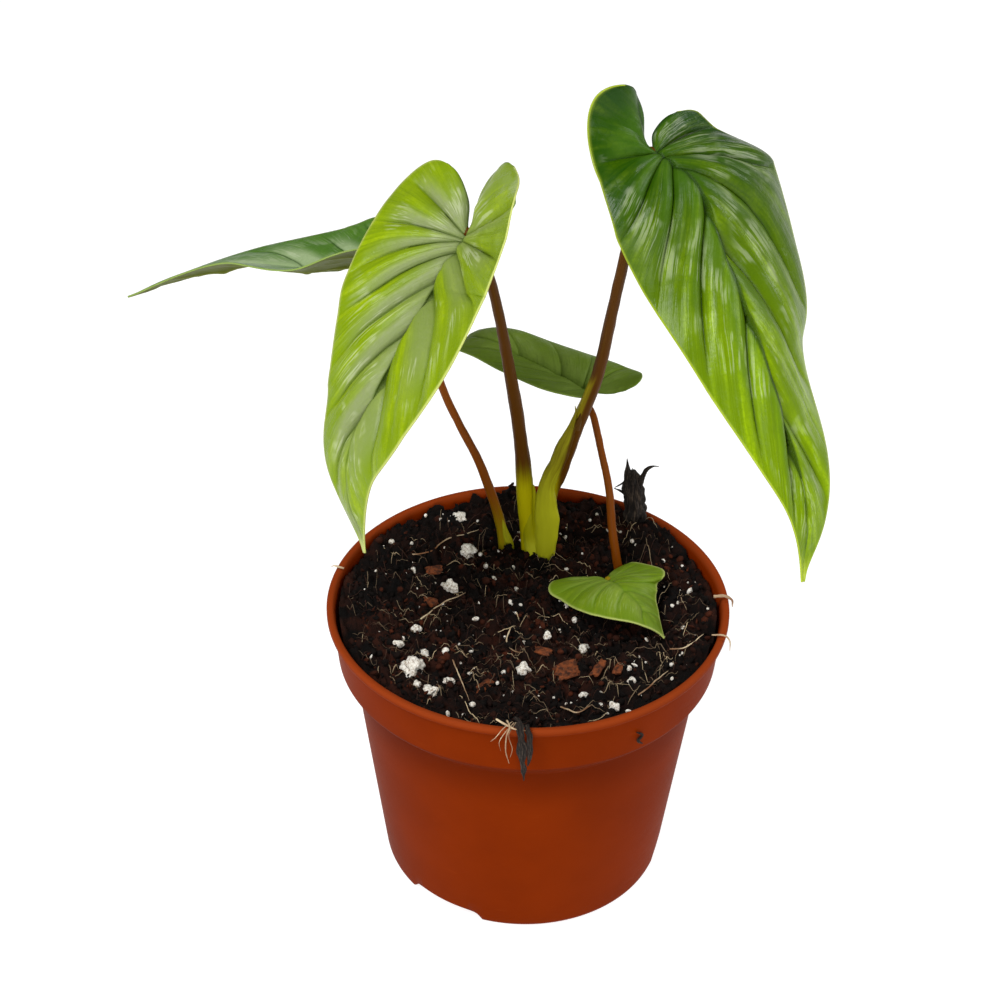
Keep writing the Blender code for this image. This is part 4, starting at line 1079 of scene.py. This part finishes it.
def on_the_mix(random, count, reach=55.0):
    """Places spread evenly over the disc of the mix: the radius is the root of a random share."""
    radius = reach * np.sqrt(random.uniform(0, 1, count))
    turn = random.uniform(0, 2 * math.pi, count)
    return radius * np.cos(turn), radius * np.sin(turn)


# %% Crumbs of peat
CRUMBS = 3600


def crumb_finish():
    """Each crumb has its own tone, from black to brown."""
    finish = Finish("peat_crumbs", Specular_IOR_Level=0.15)
    tone, _, _ = finish.mark("crumb_tone")
    fine = finish.noise(finish.place(), 1600.0, 3.0)
    # The same patches of painted shade darken the crumbs.
    share = tone.climb(0.2, 1.0) * shade_and_brown_patches(finish, 0.3)
    colour = finish.mix(share, paint(7, 4, 3), paint(82, 36, 17))
    colour = finish.mix(fine * 0.4, colour, paint(22, 12, 7))
    normal = finish.bump(fine, 0.0004, 0.7)
    return finish.put(Base_Color=colour, Roughness=0.8 + 0.15 * fine, Normal=normal)


random = np.random.default_rng(11)
ball = twenty_faces()
x, y = on_the_mix(random, CRUMBS)
sizes = random.uniform(0.25, 0.8, CRUMBS) ** 1.5 * 1.6
centres = np.stack([x, y, rough_height(x, y) + sizes * 0.25], axis=1)
points, faces = scattered(*ball, centres, sizes, random, spread=(0.25, 1.5))
tone = np.repeat(random.uniform(0, 1, CRUMBS) ** 2.2, len(ball[0]))
new_piece("peat_crumbs", points, [faces], [crumb_finish()],
          marks={"crumb_tone": np.stack([tone, tone, tone], axis=1)})

# %% Perlite
PERLITE = np.array([
    (-33, -27, 5.6), (-38, -17, 3.6), (-30, -17, 3.6), (-24, 13, 4.6), (-36, 21, 3.4),
    (-19, 30, 5.2), (-22, 46, 4.0), (-33, -7, 3.4), (-22, -33, 3.6), (-27, -38, 4.4),
    (-1, -24, 4.6), (17, -13, 4.6), (6, -13, 3.0), (25, -44, 2.8), (17, -34, 2.8), (30, -34, 3.0),
])
PERLITE_SQUASH = 0.85
SMALL_GRAINS = 170
perlite_finish = Finish("perlite", Specular_IOR_Level=0.3, Roughness=0.85)
pits = perlite_finish.noise(perlite_finish.place(), 1500.0, 4.0, 0.7)
perlite_finish.put(
    Base_Color=perlite_finish.mix(pits.climb(0.3, 0.6), paint(150, 126, 100), paint(250, 246, 236)),
    Normal=perlite_finish.bump(pits, 0.0006, 0.8),
)
fine_ball = divided(*divided(*divided(*ball)))
x, y, size = PERLITE.T
centres = np.stack([x, y, rough_height(x, y) + 0.22 * size], axis=1)
points, faces = scattered(*fine_ball, centres, 0.48 * size, random, PERLITE_SQUASH)
centre_of = np.repeat(centres, len(fine_ball[0]), axis=0)
lumps = 1 + 0.24 * rumple(points, 2.8, 41) + 0.09 * rumple(points, 1.0, 42)
points = centre_of + (points - centre_of) * lumps[:, None]
small_ball = divided(*ball)
x, y = on_the_mix(random, SMALL_GRAINS, 54)
sizes = random.uniform(0.25, 1.0, SMALL_GRAINS) ** 2 * 0.95 + 0.15
centres = np.stack([x, y, rough_height(x, y) + sizes * 0.6], axis=1)
grains = scattered(*small_ball, centres, sizes, random, spread=(0.5, 1.25))
faces = np.concatenate([faces, grains[1] + len(points)])
points = np.concatenate([points, grains[0]])
new_piece("perlite_grains", points, [faces], [perlite_finish],
          [f"perlite_{k:02d}" for k in range(1, 17)])

# %% [markdown]
# ## Bark, rootlets and fibres
# Bark chips are flat rounded boxes with a rough long grain. Rootlets and fibres are thin
# stems that wander over the mix: a few large ones where the plain solids lie, and many fine
# ones with only three sides.

# %% Bark chips
BARK = ((12, -26, 8.0, 6.0, 25), (21, -25, 7.5, 2.6, 62), (27, -25, 5.5, 2.6, 70),
        (5, -17, 5.0, 3.2, -20), (-29, 20, 5.5, 3.2, 15), (-30, 8, 4.6, 3.0, -30),
        (-12, -33, 6.0, 3.4, 40))
BARK_HALF_THICKNESS = 0.7
BARK_SQUARENESS = 0.55


def bark_chip(x, y, length, breadth, turn, seed):
    """A ball whose coordinates are raised to a power below one, which squares it. Then it is
    stretched, roughened with its grain along its length, turned and laid on the mix."""
    shape = np.sign(fine_ball[0]) * np.abs(fine_ball[0]) ** BARK_SQUARENESS
    shape = shape * (length / 2, breadth / 2, BARK_HALF_THICKNESS)
    long_grain = 0.12 * rumple(shape * (0.3, 1.6, 1.6), 1.6, seed)
    shape = shape * (1 + long_grain + 0.08 * rumple(shape, 3.0, seed + 1))[:, None]
    cosine, sine = math.cos(math.radians(turn)), math.sin(math.radians(turn))
    px = x + shape[:, 0] * cosine - shape[:, 1] * sine
    py = y + shape[:, 0] * sine + shape[:, 1] * cosine
    ground = rough_height(np.full(1, x), np.full(1, y))[0]
    return np.stack([px, py, ground + 0.8 + shape[:, 2]], axis=1)


bark_finish = Finish("bark", Specular_IOR_Level=0.3, Roughness=0.8)
grain = bark_finish.noise(bark_finish.place(), 700.0, 4.0, 0.65)
bark_finish.put(
    Base_Color=bark_finish.mix(grain.climb(0.35, 0.65), paint(52, 24, 10), paint(124, 62, 26)),
    Normal=bark_finish.bump(grain, 0.0008, 0.8),
)
chips = [bark_chip(*chip, seed=60 + 2 * k) for k, chip in enumerate(BARK)]
faces = repeated(fine_ball[1], len(chips), len(fine_ball[0]))
new_piece("bark_chips", np.concatenate(chips), [faces], [bark_finish],
          [f"bark_chip_{k:02d}" for k in range(1, 8)])

# %% Rootlets and fibres
ROOTLETS = (
    ((-22, -21), (-19, -32), (-16, -43)), ((-32, -2), (-26, 5), (-19, 10)),
    ((-36, 26), (-30, 28), (-26, 33), (-16, 40)), ((-5, -7), (-6, -13), (-4, -17), (-1, -17)),
    ((42, -16), (47, -17), (52, -12)), ((10, -42), (15, -46), (21, -40)),
    ((32, -40), (36, -36), (41, -28)),
)
ROOTLET_RADIUS = 0.22


def lying_root(route, radius, seed, lift=0.5, sides=8, rings=26):
    """A thin stem that rides over the clods and arches a little clear of them in its middle."""
    flat = smooth_curve([(*point, 0) for point in route], rings)
    arched = lift * np.sin(math.pi * np.linspace(0, 1, rings)) + 0.25 * rumple(flat, 5, seed)
    flat[:, 2] = mix_height(flat[:, 0], flat[:, 1]) + 0.9 + radius + arched
    radii = (radius, 0.9 * radius, 0.8 * radius, 0.3 * radius)
    return stem_surface(flat, radii, sides, rings, ripple=0.1, seed=seed, across=(0, 0, 1))


root_finish = Finish("rootlets", Specular_IOR_Level=0.3, Roughness=0.7)
tone = root_finish.noise(root_finish.place(), 120.0, 3.0)
straw = root_finish.mix(tone.climb(0.3, 0.7), paint(120, 76, 44), paint(216, 196, 160))
root_finish.put(Base_Color=straw)
roots = [lying_root(route, ROOTLET_RADIUS, 80 + k) for k, route in enumerate(ROOTLETS)]
points, faces, _ = joined(roots)
new_piece("rootlets", points, faces, [root_finish], [f"rootlet_{k:02d}" for k in range(1, 8)])

# %% Fine fibres
FIBRES, FIBRE_RINGS, FIBRE_SIDES, FIBRE_REACH = 760, 9, 3, 54
x, y = on_the_mix(random, FIBRES, 52)
heading = random.uniform(0, 2 * math.pi, FIBRES)
swing = random.normal(0, 0.5, FIBRES)
length = random.uniform(2, 6, FIBRES) + 9 * random.uniform(0, 1, FIBRES) ** 4
share = np.linspace(0, 1, FIBRE_RINGS)
way = heading[:, None] + swing[:, None] * share
step = (length / FIBRE_RINGS)[:, None]
fx = x[:, None] + np.cumsum(np.cos(way) * step, axis=1)
fy = y[:, None] + np.cumsum(np.sin(way) * step, axis=1)
beyond = np.maximum(np.hypot(fx, fy) / FIBRE_REACH, 1)
fx, fy = fx / beyond, fy / beyond
arched = random.uniform(0, 1.6, (FIBRES, 1)) * np.sin(math.pi * share)
fz = rough_height(fx, fy) + 0.35 + arched
middle = np.stack([fx, fy, fz], axis=-1)
along = unit(np.gradient(middle, axis=1))
wide = unit(np.cross(along, np.array([0.05, 0.02, 1.0])))
deep = np.cross(along, wide)
turn = np.linspace(0, 2 * math.pi, FIBRE_SIDES, endpoint=False)[:, None]
taper = np.sin(math.pi * (0.1 + 0.8 * share)) ** 0.5
thin = (random.uniform(0.05, 0.15, FIBRES)[:, None] * taper)[..., None, None]
ring = np.cos(turn) * wide[:, :, None] + np.sin(turn) * deep[:, :, None]
tubes = middle[:, :, None] + thin * ring
corners = FIBRE_RINGS * FIBRE_SIDES
quads = repeated(grid_quads(FIBRE_RINGS, FIBRE_SIDES, around=True), FIBRES, corners)
caps = repeated(np.array([(0, 2, 1), (corners - 3, corners - 2, corners - 1)]), FIBRES, corners)
fibre_finish = Finish("fibres", Specular_IOR_Level=0.3, Roughness=0.8)
tone, _, _ = fibre_finish.mark("crumb_tone")
fibre_finish.put(Base_Color=fibre_finish.mix(tone, paint(52, 24, 12), paint(214, 190, 150)))
tone = np.repeat(random.uniform(0, 1, FIBRES) ** 4, corners)
new_piece("peat_fibres", tubes, [quads, caps], [fibre_finish],
          marks={"crumb_tone": np.stack([tone, tone, tone], axis=1)})

# %% [markdown]
# ## Dead growth
# An old stalk has dried to a grey-black stump with a frayed top. Scraps of husk and root hang
# over the rim, and a small dry squiggle sticks to the pot's collar. They are stems again, with
# a deep ripple for the shrivelled ribs.

# %% The old stump
dry_finish = Finish("dry_stem", Specular_IOR_Level=0.25, Roughness=0.85)
turned, share, _ = dry_finish.mark("stem_place")
streaks = dry_finish.noise(dry_finish.vector(turned * 16.0, share * 4.0, 0.0), 1.5, 4.0, 0.65)
dry_finish.put(
    Base_Color=dry_finish.mix(streaks.climb(0.45, 0.75), paint(22, 16, 13), paint(92, 78, 66)),
    Normal=dry_finish.bump(streaks, 0.001, 0.9),
)
STUMP = (
    ([(31, 39.5, 82), (33, 41.5, 93), (32.5, 42, 102), (31.5, 42, 111)], (3.4, 2.9, 2.9, 1.6),
     36, 70, 0.22),
    ([(30.4, 42, 104), (30, 42, 111), (29.6, 42, 116)], (2.0, 1.1, 0.12), 16, 24, 0.2),
    ([(33, 42, 105), (35.3, 41.5, 111.5), (37.5, 41.2, 113.8), (39.5, 41, 114)],
     (1.8, 1.0, 0.6, 0.1), 16, 30, 0.2),
    ([(32, 42, 99), (29, 41.5, 103.5), (26, 41, 105.5)], (1.0, 0.5, 0.14), 12, 20, 0.2),
    ([(30.6, 42, 109), (28.4, 41.5, 107), (26.2, 41, 105.8)], (0.5, 0.3, 0.12), 10, 20, 0.2),
    ([(31.6, 40.2, 108), (31.8, 40, 112), (31.2, 39.8, 114)], (0.9, 0.5, 0.1), 10, 20, 0.2),
)
stump = joined([stem_surface(route, radii, sides, rings, ripple=ripple, seed=90 + k)
                for k, (route, radii, sides, rings, ripple) in enumerate(STUMP)])
new_stem("dry_stump_detail", stump, dry_finish, "dry_stump")

# %% The scraps over the rim
HUSK = (
    ([(-2.2, -55.5, 94.0), (-1.8, -58.5, 94.9), (-1.3, -61.4, 93.2), (-0.6, -61.2, 86),
      (-0.2, -60.6, 79), (0.0, -60.2, 75)], (0.25, 0.45, 0.5, 0.4, 0.3, 0.1), 20, 60, 2.7, 0.35),
    ([(0.4, -59, 94.6), (1.3, -61.6, 92.6), (1.6, -61.4, 86), (1.0, -60.8, 81)],
     (0.3, 0.4, 0.3, 0.08), 12, 40, 2.2, 0.3),
    ([(31.6, -48.9, 84.0), (33.3, -47.8, 82.2), (32.2, -48.3, 80.4), (33.6, -47.2, 78.4)],
     (0.15, 0.4, 0.45, 0.12), 8, 30, 1.0, 0.03),
)
husk = joined([stem_surface(route, radii, sides, rings, breadth, ripple, 96 + k)
               for k, (route, radii, sides, rings, breadth, ripple) in enumerate(HUSK)])
new_stem("rim_husk", husk, dry_finish, "rim_scrap")

HANGING = (
    ([(-5, -57, 94.2), (-4.2, -60.2, 94.6), (-5.0, -61.6, 92.5), (-5.2, -61.3, 87),
      (-4.2, -61.0, 82)], 0.25),
    ([(-8, -56.5, 94.2), (-5.5, -58.8, 94.4), (-2.5, -60.6, 94.2), (0.5, -60.6, 93.8)], 0.28),
    ([(0.5, -60, 94), (0.9, -61.4, 91), (0.2, -61.0, 84)], 0.22),
    ([(-3.5, -57.5, 94.4), (-6, -60.4, 94.2), (-8.0, -61.0, 91.5), (-9.5, -60.6, 89.5)], 0.1),
    ([(-3, -58, 94.4), (-5.4, -61.0, 93.4), (-7.0, -61.2, 90), (-6.6, -61.0, 86.5)], 0.12),
    ([(-2.5, -58, 94.5), (-4.4, -61.3, 92.8), (-3.4, -61.5, 88), (-3.9, -61.2, 84.5)], 0.12),
    ([(55.5, 1.5, 94.3), (58.5, 1.3, 94.8), (60.9, 1, 93.6), (61.2, 0.8, 91.2)], 0.45),
    ([(54, -16, 93.6), (57.5, -17, 94.3), (59.2, -17.4, 92.6), (59.5, -17.4, 89.0)], 0.28),
    ([(-56, 12, 93.8), (-58.8, 13, 93.9), (-60.0, 13.5, 93.2)], 0.3),
)
points, faces, _ = joined([stem_surface(route, (r, r, 0.8 * r, 0.3 * r), 10, 40, ripple=0.15,
                                        seed=100 + k) for k, (route, r) in enumerate(HANGING)])
new_piece("rim_roots", points, faces, [root_finish], ["rim_root"])

# %% [markdown]
# ## Room, light and camera
# A white room: the floor is a large pale sheet, the sky is a soft white, and three wide lamps
# give the leaves their gloss. The camera looks down from in front, as at a plant on a table.

# %% The floor
FLOOR_REACH, BELOW = 15, 0.0003
floor_mesh = bpy.data.meshes.new("floor")
quarters = ((-1, -1), (1, -1), (1, 1), (-1, 1))
sheet = [(x * FLOOR_REACH, y * FLOOR_REACH, -BELOW) for x, y in quarters]
floor_mesh.from_pydata(sheet, [], [(0, 1, 2, 3)])
floor = bpy.data.objects.new("floor", floor_mesh)
bpy.context.scene.collection.objects.link(floor)
paper = Finish("paper_floor", Base_Color=(0.35, 0.35, 0.35, 1.0), Roughness=1.0,
               Specular_IOR_Level=0.0, Emission_Color=(1.0, 1.0, 1.0, 1.0), Emission_Strength=0.85)
floor_mesh.materials.append(paper.material)

# %% The lights
world = bpy.data.worlds.new("white_room")
bpy.context.scene.world = world
world.use_nodes = True
background = world.node_tree.nodes["Background"]
background.inputs["Color"].default_value = (1.0, 1.0, 1.0, 1.0)
background.inputs["Strength"].default_value = 0.24


def lamp(name, place, target, width, height, watts):
    """A rectangular soft lamp aimed at a point, all in metres."""
    light = bpy.data.lights.new(name, "AREA")
    light.shape = "RECTANGLE"
    light.size = width
    light.size_y = height
    light.energy = watts
    made = bpy.data.objects.new(name, light)
    made.location = place
    aim = np.array(target) - np.array(place)
    made.rotation_euler = Vector(aim.tolist()).to_track_quat("-Z", "Y").to_euler()
    bpy.context.scene.collection.objects.link(made)


lamp("big_lamp", (-0.45, -0.45, 1.0), (0, 0, 0.13), 0.35, 0.6, 10.0)
lamp("front_lamp", (0.15, -1.1, 0.42), (0, 0, 0.11), 0.8, 0.6, 5.0)
lamp("side_lamp", (0.8, 0.2, 0.7), (0, 0, 0.13), 0.25, 0.6, 4.0)
print("lamps: 3")

# %% The camera
EYE = np.array((0.0, -0.520, 0.494))
AIM = np.array((-0.0090, 0.0177, 0.1164))
LENS = 79.06
ROLL = math.radians(-0.75)
forward = unit(AIM - EYE)
level = unit(np.cross(forward, (0, 0, 1)))
upright = np.cross(level, forward)
right_hand = math.cos(ROLL) * level - math.sin(ROLL) * upright
head_up = math.sin(ROLL) * level + math.cos(ROLL) * upright
lens = bpy.data.cameras.new("camera")
lens.lens = LENS
lens.sensor_width = 36.0
camera = bpy.data.objects.new("camera", lens)
bpy.context.scene.collection.objects.link(camera)
pose = np.eye(4)
pose[:3, :3] = np.stack([right_hand, head_up, -forward], axis=1)
pose[:3, 3] = EYE
camera.matrix_world = Matrix(pose.tolist())
bpy.context.scene.camera = camera
bpy.context.scene.view_settings.view_transform = "Standard"
print("camera at", EYE)
